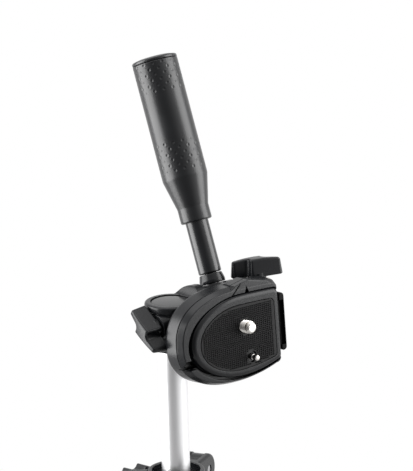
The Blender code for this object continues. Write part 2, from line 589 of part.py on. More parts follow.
def platform(tilt):
    """The platform in two shells on its hinge, the release lever and the plate with its pad."""
    flip = frame("flip_axis", tilt, (FLIP_X, 0, FLIP_Z))
    at = (-FLIP_X, 0, -FLIP_Z)
    outer = d_outline(BASE_OUTLINE, corner=4.0, fullness=BASE_FULLNESS)
    inner = d_outline(BASE_OUTLINE, -SHELL_WALL, corner=2.5, fullness=BASE_FULLNESS)
    plate = d_outline(PLATE_OUTLINE)
    seat = d_outline(PLATE_OUTLINE, 0.4, corner=3.2)

    base = prism("platform_base", outer, BASE_Z, BASE_TOP, "black plastic", flip, at, low_edge=1.0)
    hollow = prism("base_hollow", inner, BASE_Z - 1, FLOOR_TOP - FLOOR_T, None, flip, at)
    right = BASE_OUTLINE[0][0] + BASE_OUTLINE[2]
    high = (KNUCKLE_HIGH + GAP, KNUCKLE_HIGH + GAP + PLATFORM_KNUCKLE)
    low = (KNUCKLE_LOW - GAP - PLATFORM_KNUCKLE, KNUCKLE_LOW - GAP)
    ear = arc(FLIP_X, FLIP_Z, FLIP_R, -190, 45, 9)
    ear += [(right - 0.6, BASE_Z + 1.2), (right - 0.6, FLOOR_TOP - 1), (FLIP_X - FLIP_R - 1, FLOOR_TOP - 1)]
    ears = [prism(name + "_knuckle", ear, -y1, -y0, None, flip, at, rotation=FROM_XZ)
            for name, (y0, y1) in (("rear", high), ("front", low))]
    lug = box("lever_lug", (right - 3, LEVER_Y - 2.6, BASE_Z + 0.1),
              (LEVER_X + 1.8, LEVER_Y + 2.0, BASE_Z + LUG_H), None, flip, at)
    hood = prism("hood_base", HOOD, BASE_Z + 3, BASE_TOP, None, flip, at)
    cut(base, hollow)
    join(base, lug, hood, *ears)
    pocket = prism("plate_pocket", seat, FLOOR_TOP, THROUGH, None, flip, at)
    well = box("base_window", WINDOW_LOW, WINDOW_HIGH, None, flip, at)
    bolt_bore = cylinder("flip_bore", FLIP_BOLT_R + PIN_GAP, -THROUGH, THROUGH, None, flip, rotation=ALONG_Y,
                         steps=12)
    pin_bore = cylinder("lever_pin_bore", 1.1, 0, THROUGH, None, flip, (at[0] + LEVER_X, LEVER_Y, at[2] + 5),
                        steps=10)
    cut(base, pocket, well, bolt_bore, pin_bore)

    shell = d_outline(BASE_OUTLINE, -0.3, corner=3.8, fullness=BASE_FULLNESS)
    cover = prism("platform_cover", shell, BASE_TOP + GAP, COVER_TOP, "black plastic", flip, at,
                  top_edge=COVER_SLOPE, rounds=3)
    cover_pocket = prism("cover_pocket", seat, BASE_TOP - 2, THROUGH, None, flip, at)
    window = box("cover_window", WINDOW_LOW, WINDOW_HIGH, None, flip, at)
    hood_cover = prism("hood_cover", HOOD, BASE_TOP + GAP, HOOD_TOP, None, flip, at, top_edge=0.5, rounds=1)
    notch = prism("hood_notch", HOOD_NOTCH, BASE_TOP + 1, THROUGH, None, flip, at)
    groove = prism("hood_groove", HOOD_GROOVE, HOOD_TOP - 0.8, THROUGH, None, flip, at)
    join(cover, hood_cover)
    cut(cover, cover_pocket, window, notch, groove)

    neck = high[1] + GAP
    bolt_low = low[0] - GAP - 2.6
    turned("flip_bolt", [(0, neck + STUD_IN_KNOB + GAP), (FLIP_BOLT_R - 0.1, neck + STUD_IN_KNOB),
                         (FLIP_BOLT_R - 0.1, neck + 1), (FLIP_BOLT_R, neck), (FLIP_BOLT_R, low[0] - GAP),
                         (4.6, low[0] - GAP), (4.6, bolt_low + 0.6), (4.0, bolt_low), (0, bolt_low)],
           "steel", flip, rotation=ALONG_Y, steps=16)
    turned("flip_washer", [(FLIP_R, neck + 0.8), (FLIP_R, neck), (FLIP_BOLT_R + PIN_GAP, neck),
                           (FLIP_BOLT_R + PIN_GAP, neck + 0.8)], "nickel", flip, rotation=ALONG_Y, steps=18)
    knob_axis = frame("flip_knob_axis", flip, (0, neck + 0.8 + GAP, 0), ALONG_Y)
    wing_knob("flip_lock_knob", knob_axis, 2.4, -FLIP_KNOB_SLANT)

    quick_release(flip, at, plate)


def quick_release(flip, at, plate):
    lever_axis = frame("qr_lever_axis", flip, (at[0] + LEVER_X, LEVER_Y, at[2]))
    half = QR_LEVER_T / 2
    outline = arc(0, 0, half, 0, 180, 6) + arc(0, half - QR_LEVER_LONG, half, 180, 360, 6)
    bottom = BASE_Z + LUG_H + 3 * GAP + 1.6
    lever = prism("qr_lever", outline, bottom, QR_LEVER_TOP, "black plastic", lever_axis, top_edge=0.8,
                  low_edge=0.8, rounds=1)
    cut(lever, cylinder("lever_hole", 1.1, 0, 24.4, None, lever_axis, steps=10))
    cylinder("qr_lever_pin", 0.9, BASE_Z + 0.2, 24.1, "steel", lever_axis, steps=10)
    coil = bpy.data.curves.new("qr_lever_spring", "CURVE")
    coil.dimensions = "3D"
    coil.bevel_depth = 0.2 * MM
    coil.bevel_resolution = 0
    coil.use_fill_caps = True
    spline = coil.splines.new("POLY")
    spline.points.add(24)
    start = BASE_Z + LUG_H + GAP + 0.2
    for i, point in enumerate(spline.points):
        turn = i / 8
        a = 2 * math.pi * turn
        point.co = (1.45 * math.cos(a) * MM, 1.45 * math.sin(a) * MM, (start + 0.5 * turn) * MM, 1)
    wire = bpy.data.objects.new("qr_lever_spring", coil)
    TRIPOD.objects.link(wire)
    wire.parent = lever_axis
    finish(coil, "steel")

    lift = frame("plate_axis", flip)
    body = prism("qr_plate", plate, FLOOR_TOP + GAP, PLATE_TOP, "black plastic", lift, at,
                 top_edge=PLATE_SLOPE, rounds=1)
    pad_edge = d_outline(PAD_OUTLINE, corner=2.4, low_taper=0.18)
    recess = d_outline(PAD_OUTLINE, GAP, corner=2.6, low_taper=0.18)
    recess_z = PLATE_TOP - PAD_SINK
    pad_recess = prism("pad_recess", recess, recess_z, THROUGH, None, lift, at)
    screw_at = (at[0] + SCREW_X, SCREW_Y, at[2])
    video_at = (at[0] + VIDEO_X, VIDEO_Y, at[2])
    head_top = FLOOR_TOP + 2 * GAP + SCREW_HEAD_H
    head_room = cylinder("screw_room", SCREW_HEAD_R + 0.5, 10, head_top + GAP, None, lift, screw_at)
    screw_hole = cylinder("screw_hole", SCREW_R + 0.35, 10, THROUGH, None, lift, screw_at, steps=16)
    shoulder = recess_z - 1.3
    video_room = cylinder("video_room", VIDEO_FLANGE_R + 0.35, 10, shoulder, None, lift, video_at, steps=12)
    video_hole = cylinder("video_hole", VIDEO_R + 0.3, 10, THROUGH, None, lift, video_at, steps=12)
    cut(body, pad_recess, head_room, screw_hole, video_room, video_hole)
    pad_low = recess_z + GAP
    pad = prism("qr_pad", pad_edge, pad_low, pad_low + PAD_T, "rubber", lift, at)
    pad_hole = cylinder("pad_hole", SCREW_R + 0.45, 10, THROUGH, None, lift, screw_at, steps=18)
    video_well = cylinder("video_well", 2.9, 10, THROUGH, None, lift, video_at, steps=16)
    cut(pad, pad_hole, video_well)

    face = pad_low + PAD_T
    screw_axis = frame("screw_axis", lift, screw_at)
    tip = face + SCREW_OUT
    turned("camera_screw", [(0, tip), (SCREW_R - 0.7, tip), (SCREW_R, tip - 0.7), (SCREW_R, head_top),
                            (SCREW_HEAD_R, head_top), (SCREW_HEAD_R, head_top - SCREW_HEAD_H),
                            (0, head_top - SCREW_HEAD_H)], "nickel", screw_axis)
    video_axis = frame("video_axis", lift, video_at)
    flange = shoulder - GAP
    end = face + VIDEO_OUT
    turned("video_pin", [(0, end), (VIDEO_R - 0.6, end - 0.15), (VIDEO_R, end - 0.8), (VIDEO_R, flange),
                         (VIDEO_FLANGE_R, flange), (VIDEO_FLANGE_R, flange - 1.0), (0, flange - 1.0)],
           "nickel", video_axis, steps=14)


# Legs

def hip_point(azimuth, z):
    a = math.radians(azimuth)
    return (HIP_RADIUS * math.cos(a), HIP_RADIUS * math.sin(a), z)


def hip_turn(azimuth):
    """Turns the Z axis of a pin to the tangent of the hip circle."""
    return (math.pi / 2, 0, math.radians(azimuth))


def foot_centre():
    """Distance from the pivot to the centre of the foot's ball."""
    return LOWER_END + 2.5


def hip_height():
    return foot_centre() * math.cos(math.radians(LEG_SPREAD)) + FOOT_R - FOOT_FLAT


def clamp(name, parent, tube_r, inner_r, end, lever_frame_name):
    """A moulded collar on the end of a tube, with two ears and a pin for its flip lever."""
    outer = tube_r + CLAMP_SKIN
    top = CLAMP_H - CLAMP_LIP - end
    low = -end - CLAMP_LIP
    body = turned(name, [(0, top), (outer, top), (outer, low + 1.4), (outer - 1.4, low), (0, low)],
                  "black plastic", parent, steps=16)
    pivot_x = outer + LEVER_BOSS_R - 0.6
    pivot_z = top - 5.0
    ear = arc(pivot_x, pivot_z, LEVER_BOSS_R, -20, 140, 4)
    ear += [(tube_r, pivot_z), (tube_r, pivot_z - 9.0), (pivot_x - 1.0, pivot_z - 9.0)]
    for side in (-1, 1):
        near, far = sorted((side * (LEVER_HALF + GAP), side * (LEVER_HALF + EAR_T)))
        join(body, prism("%s_ear_%d" % (name, side), ear, near, far, None, parent, rotation=FROM_XZ))
    reach = LEVER_HALF + EAR_T - 0.3
    pin = cylinder(name + "_pin", LEVER_PIN_R, -reach, reach, None, parent, (pivot_x, 0, pivot_z), FROM_XZ,
                   steps=8)
    wide, narrow = tube_r + WALL_GAP, inner_r + WALL_GAP
    bore = turned(name + "_bore", [(0, top + 1), (wide, top + 1), (wide, -end - GAP), (narrow, -end - GAP),
                                   (narrow, low - 1), (0, low - 1)], None, parent, steps=16)
    join(body, pin)
    cut(body, bore)
    return frame(lever_frame_name, parent, (pivot_x, 0, pivot_z))


def flip_lever(name, parent):
    """The lever turns on the pin between the ears, its tail lies down along the clamp."""
    knuckle = LEVER_BOSS_R - 0.75
    outline = arc(0, 0, knuckle, 0, 180, 6) + [(-knuckle, -1.0), (LEVER_BOSS_R - LEVER_T, -LEVER_DROP)]
    outline += [(LEVER_BOSS_R + 1.2, -LEVER_DROP - 0.6), (LEVER_BOSS_R + 0.2, -LEVER_DROP + 2)]
    outline += [(knuckle, -4.0)]
    lever = prism(name, outline, -LEVER_HALF, LEVER_HALF, "black plastic", parent, rotation=FROM_XZ)
    cut(lever, cylinder(name + "_hole", LEVER_PIN_R + PIN_GAP, -LEVER_HALF - 1, LEVER_HALF + 1, None, parent,
                        rotation=FROM_XZ, steps=8))


def leg(root, number, azimuth):
    hip = hip_point(azimuth, hip_height())
    turn = Matrix.Rotation(math.radians(azimuth), 3, "Z") @ Matrix.Rotation(math.radians(-LEG_SPREAD), 3, "Y")
    top = frame("leg_%d_axis" % number, root, hip, turn.to_euler())
    tag = "leg_%d_" % number
    plug = UPPER_R - LEG_WALL - GAP
    seat = SHOULDER_AT + SHOULDER_H
    head = turned(tag + "head", [(0, -SHOULDER_AT), (SHOULDER_R - 1.5, -SHOULDER_AT),
                                 (SHOULDER_R, -SHOULDER_AT - 1.5), (SHOULDER_R, -seat), (plug, -seat),
                                 (plug, -seat - PLUG_H), (0, -seat - PLUG_H)], "black plastic", top, steps=16)
    tongue_outline = arc(0, 0, TONGUE_R, 0, 180, 7)
    tongue_outline += [(-TONGUE_R, -SHOULDER_AT - 3), (TONGUE_R, -SHOULDER_AT - 3)]
    tongue = prism(tag + "tongue", tongue_outline, -TONGUE_HALF, TONGUE_HALF, None, top, rotation=FROM_XZ)
    hole = cylinder(tag + "hip_hole", HIP_PIN_R + PIN_GAP, -20, 20, None, top, rotation=FROM_XZ, steps=12)
    join(head, tongue)
    cut(head, hole)
    start = seat + GAP
    tube(tag + "upper_tube", UPPER_R, UPPER_R - LEG_WALL, -start, -UPPER_END, "satin aluminium", top)
    upper_lever = clamp(tag + "upper_clamp", top, UPPER_R, MIDDLE_R, UPPER_END, tag + "upper_lever_axis")
    flip_lever(tag + "upper_lever", upper_lever)

    middle = frame(tag + "middle_axis", top)
    start = seat + PLUG_H + 2
    tube(tag + "middle_tube", MIDDLE_R, MIDDLE_R - LEG_WALL, -start, -MIDDLE_END, "satin aluminium", middle)
    lower_lever = clamp(tag + "lower_clamp", middle, MIDDLE_R, LOWER_R, MIDDLE_END, tag + "lower_lever_axis")
    flip_lever(tag + "lower_lever", lower_lever)

    lower = frame(tag + "lower_axis", middle)
    start += SLEEVE_STEP
    tube(tag + "lower_tube", LOWER_R, LOWER_R - LEG_WALL, -start, -LOWER_END, "satin aluminium", lower)
    ball = -foot_centre()
    foot = turned(tag + "foot", [(FOOT_R - 0.8, ball + FOOT_H), (FOOT_R, ball + FOOT_H - 0.8)]
                  + arc(0, ball, FOOT_R, 0, -75, 3)
                  + [(0, ball - FOOT_R), (0, -LOWER_END - GAP), (LOWER_R + GAP, -LOWER_END - GAP),
                     (LOWER_R + GAP, ball + FOOT_H)], "rubber", lower, steps=16)
    floor = box(tag + "floor", (-GROUND, -GROUND, -THROUGH), (GROUND, GROUND, 0), None, root)
    cut(foot, floor)


def stand_on_origin(root):
    """Move the tripod so the box round it stands with the middle of its base at the origin."""
    bpy.context.view_layer.update()
    depsgraph = bpy.context.evaluated_depsgraph_get()
    spans = []
    for obj in TRIPOD.objects:
        if obj.type == "EMPTY":
            continue
        solid = obj.evaluated_get(depsgraph)
        spans += [(solid.matrix_world @ vert.co) for vert in solid.to_mesh().vertices]
        solid.to_mesh_clear()
    for axis in (0, 1):
        values = [point[axis] for point in spans]
        root.location[axis] -= (min(values) + max(values)) / 2
    bpy.context.view_layer.update()


clear_scene()
TRIPOD = new_collection("mini_tripod")
CUTTERS = new_collection("cutters")
ROOT = frame("tripod_frame")
COLUMN = spider_and_column(ROOT)
tilt_stage(pan_stage(COLUMN))
for count, direction in enumerate(LEG_AZIMUTHS, 1):
    leg(ROOT, count, direction)
stand_on_origin(ROOT)
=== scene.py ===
"""Mini tripod in its finished shapes and materials, with the studio and the camera.

Lengths are in millimetres, apart from those that go to Blender. Every place comes from the frame.
"""

import json
import math

import bmesh
import bpy
from mathutils import Matrix, Vector


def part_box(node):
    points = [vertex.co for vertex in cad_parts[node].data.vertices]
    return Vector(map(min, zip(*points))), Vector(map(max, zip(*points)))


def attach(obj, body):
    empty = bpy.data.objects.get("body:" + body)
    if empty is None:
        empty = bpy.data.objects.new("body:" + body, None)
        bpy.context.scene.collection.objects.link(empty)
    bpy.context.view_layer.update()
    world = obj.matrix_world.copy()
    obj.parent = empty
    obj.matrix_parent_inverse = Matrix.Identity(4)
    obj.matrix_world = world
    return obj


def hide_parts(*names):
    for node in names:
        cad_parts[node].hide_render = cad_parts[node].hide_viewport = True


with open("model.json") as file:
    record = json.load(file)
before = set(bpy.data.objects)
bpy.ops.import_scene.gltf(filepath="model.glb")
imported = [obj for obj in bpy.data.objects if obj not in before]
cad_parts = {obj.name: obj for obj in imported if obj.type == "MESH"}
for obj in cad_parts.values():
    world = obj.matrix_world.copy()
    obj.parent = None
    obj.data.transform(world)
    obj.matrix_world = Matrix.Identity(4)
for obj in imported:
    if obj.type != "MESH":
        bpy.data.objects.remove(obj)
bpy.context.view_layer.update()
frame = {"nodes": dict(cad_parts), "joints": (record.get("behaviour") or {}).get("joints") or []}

MM = 0.001
GAP = 0.3
BORE_GAP = 0.35
THROUGH = 40.0
POLE_R = 0.001
WELD = 0.000002
CUT_WELD = 0.0000001
JOINTS = {joint["name"]: joint for joint in frame["joints"]}

# Pan housing and tilt body
COLUMN_R = 7.0
COLUMN_WALL = 1.2
HOUSING_R = 12.8
HOUSING_H = 23.8
HOUSING_WAIST = 19.2
HOUSING_TAPER = 1.6
SOCKET_DEPTH = 8.0
RING_H = 3.4
RING_STEP = 0.6
CAP_R = 9.6
CAP_T = 2.9
CAP_SEAT = 3.2
TILT_BELOW_CAP = 6.0
EAR_R = 11.0
EAR_RIGHT = 17.9
SWELL_LOW = -0.3
SWELL_FROM = 9.2
SWELL_LONG = 5.0
SWELL_STEPS = 24
PAN_BOSS_R = 7.0
PAN_BOSS_FACE_R = 6.2
PAN_BOSS_DEPTH = 7.6
DRUM_R = 8.6
DRUM_LEFT = 19.1
DRUM_RIGHT = 40.0
BARREL_R = 8.2
BARREL_FACE_R = 6.8
BARREL_FROM = 3.0
BOLT_HOLE_R = 2.7

# Handle, heights along it from the tilt axis
HANDLE_GAP = 0.2
FERRULE_AT = 8.8
FERRULE_R = 6.4
FERRULE_BAND = 1.6
FERRULE_TOP = 13.6
FERRULE_TOP_R = 5.6
ROD_AT = 13.9
ROD_R = 5.7
ROD_STUD_R = 3.0
ROD_ROOT = 5.4
ROD_SHORT = 60.0
NECK_AT = 40.2
NECK_R = 7.8
CONE_AT = 47.6
CONE_END = 62.6
GRIP_R = 11.3
GRIP_END = 121.2
END_CAP_H = 3.0
END_CAP_WALL = 3.4
END_CAP_PLUG = 4.0
DIMPLE_BANDS = ((66.5, 80.5), (106.5, 120.5))
DIMPLE_ROW = 2.7
DIMPLES_ROUND = 15
DIMPLE_R = 1.5
DIMPLE_DEPTH = 0.30
DIMPLE_LIP = 0.30
DIMPLE_FINE = 0.36

# Wing knobs
KNOB_LONG = 25.4
KNOB_HUB = 4.7
KNOB_HUB_ROUND = 1.9
KNOB_WING_T = 5.2
KNOB_TIP_ROUND = 2.1
KNOB_ROOT_ROUND = 1.8
KNOB_TAPER = 0.5
KNOB_SWEEP = 0.3
KNOB_H = 9.3
KNOB_NECK_R = 4.7
KNOB_NECK_SUNK = 2.0
KNOB_EDGE = 1.0
KNOB_CROWN = 1.2
KNOB_DRAFT = 0.9
CROWN_CUTS = 8
CROWN_STEP = 1.5
CROWN_SHIFT = 0.07
STUD_R = 2.4

# Platform, in the tilted frame; a D is its centre, its reach to the left and right and its half width
FLIP_X = 48.1
FLIP_Z = 7.5
FLIP_R = 6.5
FLIP_WASHER_T = 0.8
KNUCKLE_LOW = -9.0
KNUCKLE_HIGH = 2.0
PLATFORM_KNUCKLE = 4.5
BASE_OUTLINE = ((20.0, -11.3), 35.4, 26.6, 24.0)
BASE_FULLNESS = 2.35
PLATE_OUTLINE = ((22.0, -11.8), 30.6, 23.2, 20.3)
PAD_OUTLINE = ((20.0, -12.4), 23.8, 21.6, 15.9)
HIGH_TAPER = 0.04
LOW_TAPER = 0.22
PAD_TAPER = 0.18
D_STEPS = 72
BEND_STEPS = 9
SEAT_CORNER = 3.1
BASE_Z = 15.0
BASE_TOP = 23.0
SHELL_WALL = 2.4
FLOOR_TOP = 20.0
FLOOR_T = 2.2
COVER_TOP = 27.0
COVER_INSET = 0.3
COVER_SLOPE = 3.4
SEAM_DEPTH = 1.3
OPENING_SHIFT = (-1.7, -0.7)
PLATE_TOP = 28.0
PLATE_SLOPE = 2.3
HOOD = ((12.5, 8.5), (19.5, 12.9), (27.8, 14.6), (39.3, 12.1), (43.0, 9.4), (44.0, 5.0), (32.0, 4.0))
HOOD_TOP = 26.9
HOOD_NOTCH = ((25.1, 8.0), (28.1, 8.0), (26.6, 11.8))
HOOD_GROOVE = ((14.3, 5.9), (14.7, 5.5), (24.5, 14.4), (24.1, 14.8))
GROOVE_DEPTH = 0.8
WINDOW_LOW = (-12.6, -23.0, 20.6)
WINDOW_HIGH = (-3.6, -18.0, THROUGH)
PAD_LOW = 27.5
PAD_FACE = 28.8
PAD_FLOOR = 28.15
PAD_EDGE = 0.15
STUD_ACROSS = 1.21
STUD_ALONG = 0.95
STUD_HALF = 0.40
STUD_FREE = 0.7
STUD_FACES = ((0, 3, 2, 1), (4, 5, 6, 7), (0, 1, 5, 4), (1, 2, 6, 5), (2, 3, 7, 6), (3, 0, 4, 7))
SCREW_X = 23.2
SCREW_Y = -7.4
SCREW_R = 3.175
SCREW_TIP = 33.8
SCREW_HEAD_R = 8.5
SCREW_HEAD_LOW = 20.6
SCREW_HEAD_TOP = 23.4
SCREW_ROOM_R = 9.0
SCREW_ROOM_TOP = 23.7
THREAD_AT = 24.0
THREAD_PITCH = 1.27
THREAD_DEPTH = 0.95
THREAD_FINE = 0.1
UNDERCUT_FROM = 1.2
UNDERCUT_TO = 2.3
UNDERCUT_DEPTH = 0.4
VIDEO_X = 26.2
VIDEO_Y = -23.2
VIDEO_R = 1.4
VIDEO_TIP = 32.7
VIDEO_NOTCH = 0.25
VIDEO_FLANGE_R = 2.6
VIDEO_HOLE_R = 2.9
VIDEO_ROOM_R = 2.95
VIDEO_ROOM_TOP = 25.9
LEVER_X = 48.5
LEVER_Y = 2.0
LEVER_HALF_T = 1.8
LEVER_LONG = 27.2
LEVER_LOW = 19.1
LEVER_TOP = 25.5
LEVER_EDGE = 0.8
LEVER_DISH = 1.8
LEVER_PIN_HOLE_R = 1.1
LEVER_PIN_HOLE_TOP = 22.4

# Spider and legs, heights from the collar's rim and along a leg from its pivot
LEG_AZIMUTHS = (-90, 30, 150)
COLLAR_R = 14.0
COLLAR_H = 7.0
COLLAR_LIP = 2.0
COLLAR_WELL = 5.0
HUB_R = 14.0
HUB_H = 19.0
COLUMN_BOSS_R = 6.5
COLUMN_BOSS_DEPTH = 10.4
HIP_RADIUS = 27.0
HIP_DROP = 9.0
HIP_HOLE_R = 2.4
ARM_HALF = 6.4
ARM_END_R = 8.0
TONGUE_HALF = 3.4
TONGUE_R = 7.6
SHOULDER_AT = 12.0
SHOULDER_R = 9.3
SHOULDER_H = 10.0
PLUG_DEPTH = 12.0
# Each tube's radius, and where it starts and ends below the leg's pivot
TUBES = {"upper": (8.4, 22.3, 150.0), "middle": (6.8, 36.0, 176.0), "lower": (5.3, 50.0, 200.0)}
TUBE_WALL = 0.8
CLAMP_H = 22.0
CLAMP_LIP = 9.7
CLAMP_SKIN = 2.3
CLAMP_PIVOT_DROP = 5.0
CLAMP_PIN_R = 1.2
CLAMP_PIN_HOLE_R = 1.4
CLAMP_LEVER_HALF = 3.6
CLAMP_EAR_T = 2.8
CLAMP_EAR_H = 9.0
CLAMP_BOSS_R = 3.0
CLAMP_LEVER_DROP = 12.5
FOOT_R = 8.0
FOOT_H = 12.0
FOOT_BALL = 202.5

# Materials: how tones spread, how edges are drawn paler for wear and as a painted highlight, and how grain
# is drawn
DARKER = 0.8
PALER = 1.35
# How much paler edges are drawn, for wear and as a painted highlight along them
RUBBED_AND_LIT = 2.2
RUBBED_AND_LIT_LEAST = 0.012
WEAR_AND_HIGHLIGHT_FULL = 0.22
CLOUD_SCALE = 90.0
CLOUD_GLOSS = 0.14
GRAIN_BUMP = 0.35
METAL_DARKER = 0.93
DRAWN_SCALE = 2600.0

# Studio: the room's light, how far the white sides reach and how the floor fades out
ROOM_LIGHT = 0.22
ROOM_FRONT = 190
SIDES_FROM = 0.45
SIDES_TO = 0.95
FLOOR_RINGS = (100, 300, 450)
FLOOR_BELOW = 0.0002
FLOOR_GLOW = 0.62
FLOOR_FADE_FROM = 0.20
FLOOR_FADE_TO = 0.44

# Camera, worked out from the photograph
IMAGE_W = 413
IMAGE_H = 471
FOCAL_PX = 3090.0
DISTANCE = 1.5
YAW, PITCH, ROLL = (math.radians(a) for a in (37.0, 15.8, -1.7))
TILT_AXIS_PX = (170.9, 312.3)
SENSOR = 36.0

UP = Vector((0, 0, 1))
ACROSS = Vector((1, 0, 0))


# Places

def stand(origin, x_axis, z_axis):
    """The place of a piece, from its origin and the way its own X and Z axes point."""
    x, z = Vector(x_axis).normalized(), Vector(z_axis).normalized()
    turn = Matrix((x, z.cross(x), z)).transposed().to_4x4()
    return Matrix.Translation(origin) @ turn


def joint_axis(name):
    return Vector(JOINTS[name]["axis"])


PAN = stand(JOINTS["pan"]["pos_m"], ACROSS, UP)
TILT = stand(JOINTS["tilt"]["pos_m"], ACROSS, joint_axis("plate_lift"))
HANDLE = stand(JOINTS["handle_twist"]["pos_m"], ACROSS, joint_axis("handle_twist"))
FLIP_KNOB = stand(JOINTS["flip_lock"]["pos_m"], ACROSS, joint_axis("flip_lock"))
PAN_KNOB = stand(JOINTS["pan_lock"]["pos_m"], UP, -joint_axis("pan_lock"))
COLUMN_KNOB = stand(JOINTS["column_lock"]["pos_m"], ACROSS, joint_axis("column_lock"))
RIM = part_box("column_collar")[1].z
SPIDER = stand(Vector(JOINTS["pan"]["pos_m"]) * Vector((1, 1, 0)) + RIM * UP, ACROSS, UP)
FROM_XZ = Matrix.Rotation(math.pi / 2, 4, "X")
FROM_YZ = Matrix.Rotation(math.pi / 2, 4, "Z") @ FROM_XZ
ALONG_X = Matrix.Rotation(math.pi / 2, 4, "Y")
ALONG_Y = Matrix.Rotation(-math.pi / 2, 4, "X")


def shift(x=0.0, y=0.0, z=0.0):
    return Matrix.Translation(Vector((x, y, z)) * MM)


def leg_place(number):
    """A leg's frame at its pivot: Z runs up the leg and X points outwards."""
    z = -joint_axis("leg_%d_middle_slide" % number)
    return stand(JOINTS["leg_%d_fold" % number]["pos_m"], joint_axis("leg_%d_fold" % number).cross(z), z)


# Outlines and profiles

def arc(cx, cy, radius, start, end, steps):
    """Points on a circle from one angle to another, in degrees."""
    turn = [math.radians(start + (end - start) * i / steps) for i in range(steps + 1)]
    return [(cx + radius * math.cos(a), cy + radius * math.sin(a)) for a in turn]


def rounded(corners, closed=False, steps=5):
    """A path whose corners are rounded where they are given as (x, y, radius)."""
    path = []
    for i, corner in enumerate(corners):
        point = Vector(corner[:2])
        if len(corner) == 2 or (not closed and i in (0, len(corners) - 1)):
            path.append(point)
            continue
        before = Vector(corners[i - 1][:2]) - point
        after = Vector(corners[(i + 1) % len(corners)][:2]) - point
        reach = corner[2] / math.tan(before.angle(after) / 2)
        start, end = point + before.normalized() * reach, point + after.normalized() * reach
        for k in range(steps + 1):
            t = k / steps
            path.append(start * (1 - t) ** 2 + point * 2 * t * (1 - t) + end * t ** 2)
    return path


def rim(low, high, low_round, high_round, steps=5):
    """Levels of (inset, height) from bottom to top, rounded at both ends."""
    levels = []
    for k in range(steps + 1):
        a = math.pi / 2 * k / steps
        levels.append((low_round * (1 - math.sin(a)), low + low_round * (1 - math.cos(a))))
    for k in range(steps + 1):
        a = math.pi / 2 * k / steps
        levels.append((high_round * (1 - math.cos(a)), high - high_round * (1 - math.sin(a))))
    return levels


def wing_outline():
    """A square hub with two wings, one in line with its front and one with its back."""
    tip = KNOB_LONG / 2
    inner = KNOB_WING_T - KNOB_HUB
    half = [(-KNOB_HUB, -KNOB_HUB, KNOB_HUB_ROUND), (tip, KNOB_TAPER - KNOB_HUB, KNOB_TIP_ROUND),
            (tip, inner - KNOB_SWEEP, KNOB_TIP_ROUND), (KNOB_HUB, inner + KNOB_SWEEP, KNOB_ROOT_ROUND)]
    return rounded(half + [(-x, -y, radius) for x, y, radius in half], closed=True, steps=8)


def d_outline(shape, grow=0.0, corner=3.0, low_taper=LOW_TAPER, fullness=2.0):
    """A flat-sided D: a round end on the left, edges that draw in to the right, two round corners."""
    (centre_x, centre_y), left, right, half = shape
    left, right, half = left + grow, right + grow, half + grow
    power = 2 / fullness
    points = []
    for i in range(D_STEPS + 1):
        a = math.pi / 2 + math.pi * i / D_STEPS
        side = math.sin(a)
        points.append((-left * abs(math.cos(a)) ** power, math.copysign(half * abs(side) ** power, side)))
    straight = right - corner
    for taper, sign in ((low_taper, -1), (HIGH_TAPER, 1)):
        bend = []
        for i in range(1, BEND_STEPS):
            x = straight * i / BEND_STEPS
            bend.append((x, sign * half * (1 - taper * (x / right) ** 2)))
        end = half * (1 - taper * (straight / right) ** 2)
        bend += arc(straight, sign * (end - corner), corner, 90 * sign, 0, 8)
        points += bend if sign < 0 else reversed(bend)
    return [(centre_x + x, centre_y + y) for x, y in points]


def section(outline, x):
    """Lowest and highest Y of an outline at an X inside it."""
    hits = []
    for (ax, ay), (bx, by) in zip(outline, outline[1:] + outline[:1]):
        if (ax > x) != (bx > x):
            hits.append(ay + (by - ay) * (x - ax) / (bx - ax))
    return min(hits), max(hits)


# Meshes

def from_rings(name, rings, closed_ends):
    """A mesh through rings of points; a ring of one point is a pole."""
    bm = bmesh.new()
    loops = [[bm.verts.new(Vector(point) * MM) for point in ring] for ring in rings]
    pairs = list(zip(loops, loops[1:]))
    if not closed_ends:
        pairs.append((loops[-1], loops[0]))
    for a, b in pairs:
        count = max(len(a), len(b))
        for k in range(count):
            corners = [a[k % len(a)], a[(k + 1) % len(a)], b[(k + 1) % len(b)], b[k % len(b)]]
            bm.faces.new(list(dict.fromkeys(corners)))
    if closed_ends:
        for loop in (loops[0], loops[-1]):
            if len(loop) > 1:
                bm.faces.new(loop)
    bmesh.ops.recalc_face_normals(bm, faces=bm.faces)
    mesh = bpy.data.meshes.new(name)
    bm.to_mesh(mesh)
    bm.free()
    return mesh


def turned(profile, steps=72, relief=None):
    """Revolve (radius, height) points; relief gives the radius again from angle, radius and height."""
    rings = []
    for radius, z in profile:
        if radius < POLE_R:
            rings.append([(0, 0, z)])
            continue
        ring = []
        for k in range(steps):
            a = 2 * math.pi * k / steps
            r = relief(a, radius, z) if relief else radius
            ring.append((r * math.cos(a), r * math.sin(a), z))
        rings.append(ring)
    return from_rings("turned", rings, profile[0][0] < POLE_R)


def slab(outline, levels):
    """A solid whose section is the outline, drawn in at each level by (inset, height)."""
    points = [Vector(p) for p in outline]
    inward = []
    for i in range(len(points)):
        along = points[(i + 1) % len(points)] - points[i - 1]
        inward.append(Vector((-along.y, along.x)).normalized())
    area = sum(a.cross(b) for a, b in zip(points, points[1:] + points[:1]))
    side = math.copysign(1, area)
    rings = [[(*(p + n * inset * side), z) for p, n in zip(points, inward)] for inset, z in levels]
    return from_rings("slab", rings, True)


